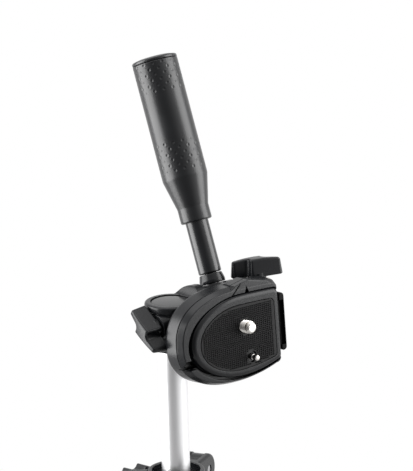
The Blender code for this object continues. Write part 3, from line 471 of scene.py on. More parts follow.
def crowned(mesh, low, top, fall):
    """The slab with its top highest in the middle, so it falls away towards its ends."""
    bm = bmesh.new()
    bm.from_mesh(mesh)
    reach = max(vert.co.xy.length for vert in bm.verts)
    for axis in (ACROSS, Vector((0, 1, 0))):
        for k in range(-CROWN_CUTS, CROWN_CUTS + 1):
            whole = bm.verts[:] + bm.edges[:] + bm.faces[:]
            place = axis * (k * CROWN_STEP + CROWN_SHIFT) * MM
            bmesh.ops.bisect_plane(bm, geom=whole, dist=CUT_WELD, plane_co=place, plane_no=axis)
    for vert in bm.verts:
        share = (vert.co.z / MM - low) / (top - low)
        vert.co.z -= fall * MM * share * (vert.co.xy.length / reach) ** 2
    bm.to_mesh(mesh)
    bm.free()
    return mesh


def block(low, high):
    """A box between two corners."""
    outline = ((low[0], low[1]), (high[0], low[1]), (high[0], high[1]), (low[0], high[1]))
    return slab(outline, [(0, low[2]), (0, high[2])])


def rod(radius, low, high, end_radius=None, steps=48):
    """A round bar or cone from one height to another."""
    end_radius = radius if end_radius is None else end_radius
    return turned([(0, low), (radius, low), (end_radius, high), (0, high)], steps)


def pipe(radius, wall, top, low):
    """A tube with small rounds on its four rims."""
    inner = radius - wall
    return turned(rounded([(radius, top, 0.2), (radius, low, 0.2), (inner, low, 0.2), (inner, top, 0.2)],
                          closed=True, steps=3), 72)


def moved(mesh, matrix):
    mesh.transform(matrix)
    return mesh


def worked(mesh, joins=(), cuts=(), common=()):
    """The mesh kept in common with others, then joined to others, then with others cut from it."""
    work = bpy.data.objects.new("work", mesh)
    bpy.context.scene.collection.objects.link(work)
    tools = []
    for operation, meshes in (("INTERSECT", common), ("UNION", joins), ("DIFFERENCE", cuts)):
        for other in meshes:
            tool = bpy.data.objects.new("tool", other)
            bpy.context.scene.collection.objects.link(tool)
            tools.append(tool)
            modifier = work.modifiers.new("work", "BOOLEAN")
            modifier.operation = operation
            modifier.solver = "EXACT"
            modifier.object = tool
    bpy.context.view_layer.update()
    result = bpy.data.meshes.new_from_object(work.evaluated_get(bpy.context.evaluated_depsgraph_get()))
    for spare in (work, *tools):
        bpy.data.objects.remove(spare)
    return result


# Materials

class Value:
    """A socket of a material. Arithmetic on it adds Math nodes."""

    def __init__(self, finish, socket):
        self.finish = finish
        self.socket = socket

    def math(self, operation, first, second):
        return self.finish.add("ShaderNodeMath", {"operation": operation}, {0: first, 1: second})

    def __add__(self, other):
        return self.math("ADD", self, other)

    def __sub__(self, other):
        return self.math("SUBTRACT", self, other)

    def __rsub__(self, other):
        return self.math("SUBTRACT", other, self)

    def __mul__(self, other):
        return self.math("MULTIPLY", self, other)

    __radd__ = __add__
    __rmul__ = __mul__


class Finish:
    """A node tree that is filled node by node."""

    def __init__(self, tree):
        self.tree = tree

    def add(self, kind, settings=None, inputs=None, output=0):
        """A node of a kind, with its settings and then the values or links of its sockets."""
        node = self.tree.nodes.new(kind)
        for key, value in (settings or {}).items():
            setattr(node, key, value)
        for key, value in (inputs or {}).items():
            if isinstance(value, Value):
                self.tree.links.new(value.socket, node.inputs[key])
            else:
                node.inputs[key].default_value = value
        return Value(self, node.outputs[output]) if len(node.outputs) else None

    def blend(self, share, first, second):
        """Mix two colours."""
        settings = {"data_type": "RGBA"}
        return self.add("ShaderNodeMix", settings, {0: share, 6: first, 7: second}, 2)

    def ramp(self, value, low, high):
        """0 below low, 1 above high and smooth in between."""
        settings = {"interpolation_type": "SMOOTHSTEP"}
        return self.add("ShaderNodeMapRange", settings, {0: value, 1: low, 2: high})

    def noise(self, place, scale, detail=2.0):
        return self.add("ShaderNodeTexNoise", {}, {"Vector": place, "Scale": scale, "Detail": detail})

    def stretched(self, place, scale):
        settings = {"vector_type": "POINT"}
        return self.add("ShaderNodeMapping", settings, {"Vector": place, "Scale": scale})


def new_finish(name, fixed, varied):
    """A material: fixed values on the shader's sockets, and varied gives what changes over the surface."""
    material = bpy.data.materials.new(name)
    material.use_nodes = True
    tree = material.node_tree
    tree.nodes.clear()
    finish = Finish(tree)
    place = finish.add("ShaderNodeTexCoord", output="Object")
    surface = finish.add("ShaderNodeBsdfPrincipled", {}, {**fixed, **varied(finish, place)})
    finish.add("ShaderNodeOutputMaterial", {}, {"Surface": surface})
    return material


def black(name, tone, roughness, grain, depth, worn_and_lit=0.5, edge=0.35, ior=1.55):
    """Moulded black: fine grain, slow changes of tone, and edges a little paler and smoother, the paling
    being both wear and a painted highlight.
    """
    def varied(finish, place):
        soft_edge = finish.add("ShaderNodeBevel", {"samples": 6}, {"Radius": edge * MM})
        face = finish.add("ShaderNodeNewGeometry", output="Normal")
        along = finish.add("ShaderNodeVectorMath", {"operation": "DOT_PRODUCT"},
                           {0: soft_edge, 1: face}, "Value")
        # Edge mask: edges are drawn paler for rubbing wear and as a painted highlight along them
        wear_and_highlight = finish.ramp(1 - along, 0.0, WEAR_AND_HIGHLIGHT_FULL) * worn_and_lit
        cloud = finish.noise(place, CLOUD_SCALE, 3.0)
        speckle = finish.noise(place, 1000.0 / grain)
        dark = tuple(c * DARKER for c in tone) + (1.0,)
        pale = tuple(c * PALER for c in tone) + (1.0,)
        # The paler edge colour: wear and a painted highlight
        rubbed_and_lit_tone = tuple(c * RUBBED_AND_LIT + RUBBED_AND_LIT_LEAST for c in tone) + (1.0,)
        colour = finish.blend(wear_and_highlight, finish.blend(cloud, dark, pale), rubbed_and_lit_tone)
        height = finish.add("ShaderNodeBump", {}, {"Strength": GRAIN_BUMP, "Distance": depth * MM,
                                                   "Height": speckle, "Normal": soft_edge})
        gloss = cloud * CLOUD_GLOSS + (roughness - CLOUD_GLOSS / 2) - wear_and_highlight * 0.08
        return {"Base Color": colour, "Normal": height, "Roughness": gloss}
    return new_finish(name, {"IOR": ior}, varied)


def metal(name, tone, roughness, drawn, depth):
    """Metal with fine marks along Z and slow changes of gloss."""
    def varied(finish, place):
        lines = finish.noise(finish.stretched(place, (1.0, 1.0, drawn)), DRAWN_SCALE, 3.0)
        cloud = finish.noise(place, 60.0)
        dark = tuple(c * METAL_DARKER for c in tone) + (1.0,)
        height = finish.add("ShaderNodeBump", {}, {"Strength": 0.3, "Distance": depth * MM,
                                                   "Height": lines})
        return {"Base Color": finish.blend(cloud * lines, tone + (1.0,), dark), "Normal": height,
                "Roughness": lines * 0.12 + cloud * 0.06 + (roughness - 0.09)}
    return new_finish(name, {"Metallic": 1.0}, varied)


FINISHES = {
    "moulded black": (black("moulded_black", (0.0085, 0.0091, 0.0106), roughness=0.26, grain=0.35,
                            depth=0.03, worn_and_lit=0.4, ior=1.38), "black_plastic"),
    "rod black": (black("rod_black", (0.0058, 0.0064, 0.0078), roughness=0.24, grain=0.35,
                        depth=0.02), "black_plastic"),
    "gloss black": (black("gloss_black", (0.0035, 0.0037, 0.0045), roughness=0.20, grain=1.2,
                          depth=0.01), "black_plastic"),
    "grip black": (black("grip_black", (0.0062, 0.0067, 0.0080), roughness=0.31, grain=0.22,
                         depth=0.02, worn_and_lit=0.1), "grip_plastic"),
    # A darker copy of the moulded black for the release lever: painted shade
    "painted shade black": (black("painted_shade_black", (0.0012, 0.0012, 0.0015), roughness=0.40, grain=0.35,
                           depth=0.02, worn_and_lit=0.6, ior=1.2), "black_plastic"),
    "pad rubber": (black("pad_rubber", (0.0022, 0.0023, 0.0027), roughness=0.50, grain=0.9,
                         depth=0.06, worn_and_lit=0.25, edge=0.1, ior=1.36), "rubber"),
    "foot rubber": (black("foot_rubber", (0.012, 0.012, 0.013), roughness=0.72, grain=0.5,
                          depth=0.05), "rubber"),
    "satin aluminium": (metal("satin_aluminium", (0.88, 0.88, 0.89), roughness=0.38, drawn=0.012,
                              depth=0.0015), "satin_aluminium"),
    "nickel": (metal("nickel", (0.66, 0.64, 0.61), roughness=0.26, drawn=1.0, depth=0.004), "nickel"),
    "steel": (metal("steel", (0.47, 0.47, 0.48), roughness=0.34, drawn=0.2, depth=0.006), "steel"),
}


def fit(name, mesh, finish, body, nodes, place, sharp=38):
    """Put a finished piece in its place: it rides on its body and stands for its solids."""
    bm = bmesh.new()
    bm.from_mesh(mesh)
    bmesh.ops.remove_doubles(bm, verts=bm.verts, dist=WELD)
    bmesh.ops.dissolve_degenerate(bm, edges=bm.edges, dist=WELD)
    bmesh.ops.recalc_face_normals(bm, faces=bm.faces)
    bm.to_mesh(mesh)
    bm.free()
    mesh.shade_smooth()
    mesh.set_sharp_from_angle(angle=math.radians(sharp))
    material, slot = FINISHES[finish]
    mesh.materials.clear()
    mesh.materials.append(material)
    mesh.name = name
    obj = bpy.data.objects.new(name, mesh)
    bpy.context.scene.collection.objects.link(obj)
    obj.matrix_world = place
    flat = obj.modifiers.new("flat faces", "WEIGHTED_NORMAL")
    flat.keep_sharp = True
    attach(obj, body)
    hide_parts(*nodes)


# Head

def wing_knob(name, node, body, place, neck_h, slant, stud):
    """A wing knob on its neck, with a crowned face and sides that lean in towards it."""
    top = neck_h + KNOB_H
    levels = [(inset + KNOB_DRAFT * (z - neck_h) / KNOB_H, z)
              for inset, z in rim(neck_h, top, KNOB_EDGE, KNOB_EDGE)]
    wing = crowned(slab(wing_outline(), levels), neck_h, top, KNOB_CROWN)
    root = neck_h + KNOB_NECK_SUNK
    joins = [turned(rounded([(0, root), (KNOB_NECK_R, root), (KNOB_NECK_R, 0, 0.5), (0, 0)]))]
    if stud:
        joins.append(rod(STUD_R, -stud, 1, steps=32))
    wing = moved(wing, Matrix.Rotation(math.radians(slant), 4, "Z"))
    fit(name, worked(wing, joins), "moulded black", body, [node], place)


def pan_head():
    wall = HOUSING_R - RING_STEP
    housing = turned(rounded([
        (0, 0), (HOUSING_R, 0, 1.6), (HOUSING_R, -RING_H, 0.35), (wall, -RING_H - 0.3, 0.15),
        (wall, -HOUSING_WAIST, 2.0), (wall - HOUSING_TAPER, -HOUSING_H, 0.8), (0, -HOUSING_H)]), 96)
    axis_z = -TILT_BELOW_CAP
    crest = axis_z + EAR_R
    swell = [(4.0, -2.0), (8.6, -0.6)]
    for i in range(SWELL_STEPS + 1):
        share = i / SWELL_STEPS
        rise = (1 - math.cos(math.pi * share)) / 2
        swell.append((SWELL_FROM + SWELL_LONG * share, SWELL_LOW + (crest + 0.2) * rise))
    foot = 2 - HOUSING_H
    swell += [(EAR_RIGHT, crest), (EAR_RIGHT, axis_z - 11), (EAR_RIGHT - 5, foot), (4.0, foot)]
    upright = moved(slab(swell, [(0, -EAR_R - 2), (0, EAR_R + 2)]), FROM_XZ)
    deep = -HOUSING_H - 2
    sides = arc(0, axis_z, EAR_R, 0, 180, 60) + [(-EAR_R, deep), (EAR_R, deep)]
    sides = moved(slab(sides, [(0, 0), (0.4, EAR_RIGHT - 0.6), (0.8, EAR_RIGHT + 1)]), FROM_YZ)
    upright = worked(upright, common=[sides])
    to_knob = PAN.inverted() @ PAN_KNOB
    boss = moved(rod(PAN_BOSS_R, -PAN_BOSS_DEPTH, -GAP, PAN_BOSS_FACE_R, 72), to_knob)
    recess = turned([(0, 1), (CAP_R + GAP, 1), (CAP_R + GAP, -CAP_SEAT), (0, -CAP_SEAT)])
    socket = rod(COLUMN_R + GAP, -HOUSING_H - 1, SOCKET_DEPTH - HOUSING_H)
    housing = worked(housing, [upright, boss], [recess, socket])
    fit("pan_housing_moulding", housing, "moulded black", "pan", ["pan_housing"], PAN)

    cap = turned(rounded([
        (0, -0.05), (CAP_R - 1.6, -0.2), (CAP_R, -0.5, 0.5), (CAP_R, -CAP_T, 0.1), (0, -CAP_T)]), 96)
    fit("pan_cap_disc", cap, "gloss black", "pan", ["pan_cap"], PAN)
    wing_knob("pan_lock_wing", "pan_lock_knob", "pan_knob", PAN_KNOB, neck_h=0.4, slant=57.0, stud=6.0)


def tilt_body():
    profile = rounded([(0, DRUM_RIGHT), (DRUM_R, DRUM_RIGHT, 1.5), (DRUM_R, DRUM_LEFT, 0.4),
                       (0, DRUM_LEFT)])
    drum = moved(turned(profile, 96), ALONG_X)
    to_handle = TILT.inverted() @ HANDLE
    barrel = moved(rod(BARREL_R, BARREL_FROM, FERRULE_AT - GAP, BARREL_FACE_R, 72), to_handle)
    arm = [(DRUM_RIGHT - 8, -8), (DRUM_RIGHT, -8), (FLIP_X + 2, FLIP_Z - FLIP_R + 0.4)]
    arm += arc(FLIP_X, FLIP_Z, FLIP_R, -55, 95, 28)
    arm += [(DRUM_RIGHT - 4, 9.0), (DRUM_RIGHT - 8, 6)]
    hinge = moved(slab(arm, rim(-KNUCKLE_HIGH, -KNUCKLE_LOW, 0.5, 0.5, 3)), FROM_XZ)
    hole = moved(rod(BOLT_HOLE_R, -30, 30), shift(FLIP_X, 0, FLIP_Z) @ ALONG_Y)
    body = worked(drum, [barrel, hinge], [hole])
    fit("tilt_body_moulding", body, "moulded black", "tilt", ["tilt_body"], TILT)


def dimpled(angle, radius, z):
    """The grip's radius where staggered dimples with a raised lip are pressed into it."""
    for low, high in DIMPLE_BANDS:
        if not low - DIMPLE_R < z < high + DIMPLE_R:
            continue
        change = 0.0
        first = round((z - low) / DIMPLE_ROW)
        for row in (first - 1, first, first + 1):
            row_z = low + row * DIMPLE_ROW
            if not low - 0.1 <= row_z <= high + 0.1:
                continue
            turns = angle / (2 * math.pi) * DIMPLES_ROUND - 0.5 * (row % 2)
            across = (turns - round(turns)) * 2 * math.pi * GRIP_R / DIMPLES_ROUND
            near = math.hypot(across, z - row_z) / DIMPLE_R
            if near < 1:
                change += DIMPLE_DEPTH * (DIMPLE_LIP * math.sin(math.pi * near) ** 2 - (1 - near) ** 2)
        return radius + change
    return radius


def handle():
    inner = ROD_STUD_R + HANDLE_GAP
    ferrule = turned(rounded([
        (FERRULE_TOP_R, FERRULE_TOP, 0.5), (FERRULE_R, FERRULE_AT + FERRULE_BAND, 1.5),
        (FERRULE_R, FERRULE_AT, 0.5), (inner, FERRULE_AT), (inner, FERRULE_TOP)], closed=True), 72)
    fit("handle_ferrule_collar", ferrule, "moulded black", "handle", ["handle_ferrule"], HANDLE)

    inside = GRIP_END - ROD_SHORT
    shaft = turned(rounded([
        (0, inside), (ROD_R, inside), (ROD_R, ROD_AT, 0.8), (ROD_STUD_R + 1.2, ROD_AT),
        (ROD_STUD_R, ROD_AT), (ROD_STUD_R, ROD_ROOT), (0, ROD_ROOT)]), 72)
    fit("handle_shaft", shaft, "rod black", "handle", ["handle_rod"], HANDLE)

    bore = ROD_R + HANDLE_GAP
    profile = rounded([
        (bore, NECK_AT), (NECK_R, NECK_AT, 1.0), (NECK_R, CONE_AT, 1.2), (GRIP_R, CONE_END, 6.0),
        (GRIP_R, DIMPLE_BANDS[0][0] - DIMPLE_R)])
    for low, high in DIMPLE_BANDS:
        length = high - low + 2 * DIMPLE_R
        rows = int(length / DIMPLE_FINE)
        heights = [low - DIMPLE_R + length * i / rows for i in range(rows + 1)]
        profile += [Vector((GRIP_R, z)) for z in heights if z < GRIP_END - 0.3]
    profile += rounded([(GRIP_R, GRIP_END - 0.5), (GRIP_R, GRIP_END, 0.25), (bore, GRIP_END)])[1:]
    grip = turned(profile, 210, dimpled)
    fit("handle_grip_sleeve", grip, "grip black", "handle", ["handle_grip"], HANDLE)

    lip = GRIP_END + END_CAP_H
    seam = GRIP_END + GAP
    plug_r = GRIP_R - END_CAP_WALL
    plug_end = GRIP_END - END_CAP_PLUG
    cap = turned(rounded([
        (0, lip), (4.0, lip - 0.1), (GRIP_R - 3.0, lip - 0.5), (GRIP_R - 0.6, lip - 1.1, 1.2),
        (GRIP_R, GRIP_END + 1.5, 0.8), (GRIP_R, seam, 0.2), (GRIP_R - 1.0, seam), (plug_r, seam),
        (plug_r, plug_end), (0, plug_end)]), 96)
    fit("handle_end_cap_moulding", cap, "grip black", "handle", ["handle_end_cap"], HANDLE)


# Platform

def hood_outline():
    """The raised part behind the plate; its last corner is hidden and stays sharp."""
    return rounded([(*p, 1.0) for p in HOOD[:-1]] + [HOOD[-1]], closed=True, steps=4)


def lower_shell():
    outer = d_outline(BASE_OUTLINE, corner=4.0, fullness=BASE_FULLNESS)
    inner = d_outline(BASE_OUTLINE, -SHELL_WALL, corner=2.5, fullness=BASE_FULLNESS)
    base = slab(outer, rounded([(1.2, BASE_Z), (0, BASE_Z, 0.8), (0, BASE_Z + 1.5, 0.5),
                                (0.4, BASE_TOP - 0.1), (1.4, BASE_TOP)]))
    base = worked(base, cuts=[slab(inner, [(0, BASE_Z - 1), (0, FLOOR_TOP - FLOOR_T)])])

    right = BASE_OUTLINE[0][0] + BASE_OUTLINE[2]
    high = (KNUCKLE_HIGH + GAP, KNUCKLE_HIGH + GAP + PLATFORM_KNUCKLE)
    low = (KNUCKLE_LOW - GAP - PLATFORM_KNUCKLE, KNUCKLE_LOW - GAP)
    ear = arc(FLIP_X, FLIP_Z, FLIP_R, -190, 45, 40)
    ear += [(right - 0.6, BASE_Z + 1.2), (right - 0.6, FLOOR_TOP - 1),
            (FLIP_X - FLIP_R - 1, FLOOR_TOP - 1)]
    ears = [moved(slab(ear, rim(-y1, -y0, 0.4, 0.4, 3)), FROM_XZ) for y0, y1 in (high, low)]
    lug = block((right - 3, LEVER_Y - 2.6, BASE_Z + 0.1),
                (LEVER_X + LEVER_HALF_T, LEVER_Y + 2.0, BASE_Z + 1.6))
    hood = slab(hood_outline(), [(0, BASE_Z + 3), (0, BASE_TOP)])
    pocket = slab(d_outline(PLATE_OUTLINE, GAP, corner=SEAT_CORNER), [(0, FLOOR_TOP), (0, THROUGH)])
    window = block(WINDOW_LOW, WINDOW_HIGH)
    bolt_hole = moved(rod(BOLT_HOLE_R, -THROUGH, THROUGH), shift(FLIP_X, 0, FLIP_Z) @ ALONG_Y)
    pin_hole = moved(rod(LEVER_PIN_HOLE_R, 5, THROUGH), shift(LEVER_X, LEVER_Y))
    base = worked(base, [lug, hood, *ears], [pocket, window, bolt_hole, pin_hole])
    fit("platform_lower_shell", base, "moulded black", "platform", ["platform_base"], TILT)


def upper_shell():
    outline = d_outline(BASE_OUTLINE, -COVER_INSET, corner=3.8, fullness=BASE_FULLNESS)
    band = rounded([(SEAM_DEPTH, BASE_TOP + GAP), (SEAM_DEPTH, BASE_TOP + 0.6), (0, BASE_TOP + 0.7),
                    (1.5, COVER_TOP, 0.5), (COVER_SLOPE, COVER_TOP)])
    hood = slab(hood_outline(), rim(BASE_TOP + GAP, HOOD_TOP, 0.3, 0.5, 4))
    seat = d_outline(PLATE_OUTLINE, GAP, corner=SEAT_CORNER)
    openings = [slab(seat, [(0, BASE_TOP - 2), (0, THROUGH)]) for _ in range(2)]
    moved(openings[1], shift(*OPENING_SHIFT))
    window = block(WINDOW_LOW, WINDOW_HIGH)
    notch = slab(HOOD_NOTCH, [(0, BASE_TOP + 1), (0, THROUGH)])
    groove = slab(HOOD_GROOVE, [(0, HOOD_TOP - GROOVE_DEPTH), (0, THROUGH)])
    cover = worked(slab(outline, band), [hood], [*openings, window, notch, groove])
    fit("platform_upper_shell", cover, "moulded black", "platform", ["platform_cover"], TILT)


def quick_plate():
    plate = slab(d_outline(PLATE_OUTLINE), rim(FLOOR_TOP + GAP, PLATE_TOP, 0.3, PLATE_SLOPE, 8))
    seat = d_outline(PAD_OUTLINE, GAP, corner=2.6, low_taper=PAD_TAPER)
    recess = slab(seat, [(0, PAD_LOW - GAP), (0, THROUGH)])
    holes = [moved(rod(r, 10, THROUGH), shift(x, y))
             for x, y, r in ((SCREW_X, SCREW_Y, SCREW_R + BORE_GAP), (VIDEO_X, VIDEO_Y, VIDEO_R + GAP))]
    rooms = [moved(rod(SCREW_ROOM_R, 10, SCREW_ROOM_TOP), shift(SCREW_X, SCREW_Y)),
             moved(rod(VIDEO_ROOM_R, 10, VIDEO_ROOM_TOP), shift(VIDEO_X, VIDEO_Y))]
    plate = worked(plate, cuts=[recess, *holes, *rooms])
    fit("quick_release_plate", plate, "moulded black", "plate", ["qr_plate"], TILT)


def studded_pad():
    """The rubber pad: a thin sheet covered with small studs, which stop round its two holes."""
    edge = d_outline(PAD_OUTLINE, corner=2.4, low_taper=PAD_TAPER)
    sheet = slab(edge, [(0, PAD_LOW), (0, PAD_FLOOR - PAD_EDGE), (PAD_EDGE, PAD_FLOOR)])
    holes = ((SCREW_X, SCREW_Y, SCREW_R + 0.45), (VIDEO_X, VIDEO_Y, VIDEO_HOLE_R))
    sheet = worked(sheet, cuts=[moved(rod(r, 10, THROUGH), shift(x, y)) for x, y, r in holes])
    field = d_outline(PAD_OUTLINE, -0.9, corner=2.0, low_taper=PAD_TAPER)
    verts, faces = [], []
    column_x = min(x for x, y in field) + STUD_ACROSS
    while column_x < max(x for x, y in field) - STUD_ACROSS:
        low, high = section(field, column_x)
        for k in range(math.ceil(low / STUD_ALONG), math.floor(high / STUD_ALONG) + 1):
            y = k * STUD_ALONG
            if all(math.hypot(column_x - hx, y - hy) > r + STUD_FREE for hx, hy, r in holes):
                first = len(verts)
                for grow, z in ((1.0, PAD_FLOOR - 0.1), (0.6, PAD_FACE)):
                    half_x, half_y = STUD_HALF * grow, 0.8 * STUD_HALF * grow
                    verts += [((column_x + i * half_x) * MM, (y + j * half_y) * MM, z * MM)
                              for i, j in ((-1, -1), (1, -1), (1, 1), (-1, 1))]
                faces += [[first + n for n in face] for face in STUD_FACES]
        column_x += STUD_ACROSS
    studs = bpy.data.meshes.new("studs")
    studs.from_pydata(verts, [], faces)
    bm = bmesh.new()
    bm.from_mesh(sheet)
    bm.from_mesh(studs)
    mesh = bpy.data.meshes.new("pad")
    bm.to_mesh(mesh)
    bm.free()
    fit("plate_studded_pad", mesh, "pad rubber", "plate", ["qr_pad"], TILT)


def threaded(angle, radius, z):
    """The screw's radius along a right-hand thread, with an undercut near its tip."""
    if radius < SCREW_R - 0.2:
        return radius
    phase = (z / THREAD_PITCH - angle / (2 * math.pi)) % 1.0
    valley = THREAD_DEPTH * abs(2 * phase - 1)
    if UNDERCUT_FROM < SCREW_TIP - z < UNDERCUT_TO:
        valley = THREAD_DEPTH + UNDERCUT_DEPTH
    return min(radius - valley, SCREW_R - 1.0 + (SCREW_TIP - z))


def plate_metal():
    """The camera screw, and the locating pin with a notch round it."""
    length = SCREW_TIP - THREAD_AT
    rows = int(length / THREAD_FINE)
    profile = [(0, SCREW_HEAD_LOW), (SCREW_HEAD_R, SCREW_HEAD_LOW), (SCREW_HEAD_R, SCREW_HEAD_TOP),
               (SCREW_R - 0.3, SCREW_HEAD_TOP), (SCREW_R, THREAD_AT)]
    profile += [(SCREW_R, THREAD_AT + length * i / rows) for i in range(1, rows + 1)]
    profile += [(SCREW_R - 1.5, SCREW_TIP), (0, SCREW_TIP)]
    fit("camera_screw_threaded", turned(profile, 64, threaded), "nickel", "screw", ["camera_screw"],
        TILT @ shift(SCREW_X, SCREW_Y), sharp=50)

    flange = PAD_LOW - GAP - 1.6
    notch_r = VIDEO_R - VIDEO_NOTCH
    pin = turned(rounded([
        (0, VIDEO_TIP), (VIDEO_R, VIDEO_TIP, 0.75), (VIDEO_R, PAD_FACE + 1.3), (notch_r, PAD_FACE + 1.1),
        (notch_r, PAD_FACE + 0.7), (VIDEO_R, PAD_FACE + 0.5), (VIDEO_R, flange), (VIDEO_FLANGE_R, flange),
        (VIDEO_FLANGE_R, flange - 1), (0, flange - 1)]), 48)
    fit("video_pin_turned", pin, "nickel", "pin", ["video_pin"], TILT @ shift(VIDEO_X, VIDEO_Y))


def release_lever():
    outline = arc(0, 0, LEVER_HALF_T, 0, 180, 16)
    outline += arc(0, LEVER_HALF_T - LEVER_LONG, LEVER_HALF_T, 180, 360, 16)
    lever = slab(outline, rim(LEVER_LOW, LEVER_TOP, LEVER_EDGE, LEVER_EDGE))
    dish = block((-3.0, 3.0 - LEVER_LONG, LEVER_TOP - LEVER_DISH),
                 (LEVER_HALF_T - LEVER_EDGE, -1.8, LEVER_TOP + 1))
    lever = worked(lever, cuts=[rod(LEVER_PIN_HOLE_R, 0, LEVER_PIN_HOLE_TOP, steps=24), dish])
    # The lever wears the darker copy of the black: painted shade
    fit("quick_release_lever", lever, "painted shade black", "release_lever", ["qr_lever"],
        TILT @ shift(LEVER_X, LEVER_Y))


def flip_hinge():
    low = KNUCKLE_HIGH + PLATFORM_KNUCKLE + 2 * GAP
    high = low + FLIP_WASHER_T
    washer = turned(rounded([(FLIP_R, high, 0.2), (FLIP_R, low, 0.2), (BOLT_HOLE_R, low),
                             (BOLT_HOLE_R, high)], closed=True, steps=3), 72)
    to_hinge = TILT @ shift(FLIP_X, 0, FLIP_Z) @ ALONG_Y
    fit("flip_hinge_washer", washer, "nickel", "platform", ["flip_washer"], to_hinge)
    wing_knob("flip_lock_wing", "flip_lock_knob", "flip_knob", FLIP_KNOB, neck_h=1.5, slant=-17.0, stud=0.0)


# Column, spider and legs

def column_and_spider():
    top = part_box("centre_column")[1].z - RIM
    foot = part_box("centre_column")[0].z - RIM
    fit("centre_column_tube", pipe(COLUMN_R, COLUMN_WALL, top / MM, foot / MM), "satin aluminium", "column",
        ["centre_column"], SPIDER)
    low = -COLLAR_H - HUB_H
    hub = turned(rounded([(0, 1 - COLLAR_H), (HUB_R, 1 - COLLAR_H, 0.5), (HUB_R, low, 2.0), (0, low)]), 96)
    outline = [(HUB_R - 4, -1.0), (HIP_RADIUS + 1, -1.0)]
    outline += arc(HIP_RADIUS, -HIP_DROP, ARM_END_R, 78, -90, 24)
    outline += [(HUB_R - 4, -HIP_DROP - ARM_END_R - 1.5)]
    arms, cuts = [], [rod(COLLAR_R + 0.5, -COLLAR_H - GAP, 5, steps=96)]
    for azimuth in LEG_AZIMUTHS:
        turn = Matrix.Rotation(math.radians(azimuth), 4, "Z")
        arms.append(moved(slab(outline, rim(-ARM_HALF, ARM_HALF, 1.5, 1.5, 4)), turn @ FROM_XZ))
        cuts.append(moved(block((HIP_RADIUS - TONGUE_R - 1.6, -TONGUE_HALF - GAP, -40),
                                (HIP_RADIUS + 20, TONGUE_HALF + GAP, 5)), turn))
        cuts.append(moved(rod(HIP_HOLE_R, -8, 8), turn @ shift(HIP_RADIUS, 0, -HIP_DROP) @ FROM_XZ))
    to_knob = SPIDER.inverted() @ COLUMN_KNOB
    boss = moved(rod(COLUMN_BOSS_R, -COLUMN_BOSS_DEPTH, -GAP, steps=64), to_knob)
    inner = COLUMN_R + BORE_GAP
    cuts.append(rod(inner, -60, 20))
    spider = worked(hub, [*arms, boss], cuts)
    fit("spider_moulding", spider, "moulded black", "spider", ["spider"], SPIDER)

    lip = COLLAR_R - COLLAR_LIP
    collar = turned(rounded([
        (COLLAR_R, 0, 0.6), (COLLAR_R, -COLLAR_H, 0.2), (inner, -COLLAR_H), (inner, -COLLAR_WELL, 0.1),
        (lip, -COLLAR_WELL, 0.3), (lip, 0, 0.4)], closed=True), 96)
    fit("column_collar_ring", collar, "moulded black", "spider", ["column_collar"], SPIDER)
    wing_knob("column_lock_wing", "column_lock_knob", "column_knob", COLUMN_KNOB, neck_h=2.8, slant=30.0,
              stud=12.0)


def leg_clamp(outer_tube, inner_tube, end):
    """The collar on the end of a tube, with the ears of its lever; also the lever's pivot."""
    outer = outer_tube + CLAMP_SKIN
    top = CLAMP_H - CLAMP_LIP - end
    low = -end - CLAMP_LIP
    collar = turned(rounded([(0, top), (outer, top, 0.5), (outer, low, 1.4), (0, low)]), 72)
    pivot_x = outer + CLAMP_BOSS_R - 0.6
    pivot_z = top - CLAMP_PIVOT_DROP
    ear = arc(pivot_x, pivot_z, CLAMP_BOSS_R, -20, 140, 16)
    ear += [(outer_tube, pivot_z), (outer_tube, pivot_z - CLAMP_EAR_H),
            (pivot_x - 1.0, pivot_z - CLAMP_EAR_H)]
    joins = []
    for side in (-1, 1):
        near, far = sorted((side * (CLAMP_LEVER_HALF + GAP), side * (CLAMP_LEVER_HALF + CLAMP_EAR_T)))
        joins.append(moved(slab(ear, rim(near, far, 0.3, 0.3, 2)), FROM_XZ))
    reach = CLAMP_LEVER_HALF + CLAMP_EAR_T - 0.3
    joins.append(moved(rod(CLAMP_PIN_R, -reach, reach, steps=24), shift(pivot_x, 0, pivot_z) @ FROM_XZ))
    wide, narrow = outer_tube + BORE_GAP, inner_tube + BORE_GAP
    bore = turned([(0, top + 1), (wide, top + 1), (wide, -end - GAP), (narrow, -end - GAP),
                   (narrow, low - 1), (0, low - 1)])
    return worked(collar, joins, [bore]), shift(pivot_x, 0, pivot_z)


def clamp_lever():
    knuckle = CLAMP_BOSS_R - 0.75
    outline = arc(0, 0, knuckle, 0, 180, 18) + rounded([
        (-knuckle, 0), (-knuckle, -1.0, 1.0), (0.4, -CLAMP_LEVER_DROP, 0.5),
        (4.2, -CLAMP_LEVER_DROP - 0.6, 0.5), (3.2, -CLAMP_LEVER_DROP + 2, 1.0), (knuckle, -4.0, 2.0),
        (knuckle, 0)], steps=4)[1:-1]
    lever = moved(slab(outline, rim(-CLAMP_LEVER_HALF, CLAMP_LEVER_HALF, 0.4, 0.4, 3)), FROM_XZ)
    return worked(lever, cuts=[moved(rod(CLAMP_PIN_HOLE_R, -8, 8, steps=24), FROM_XZ)])


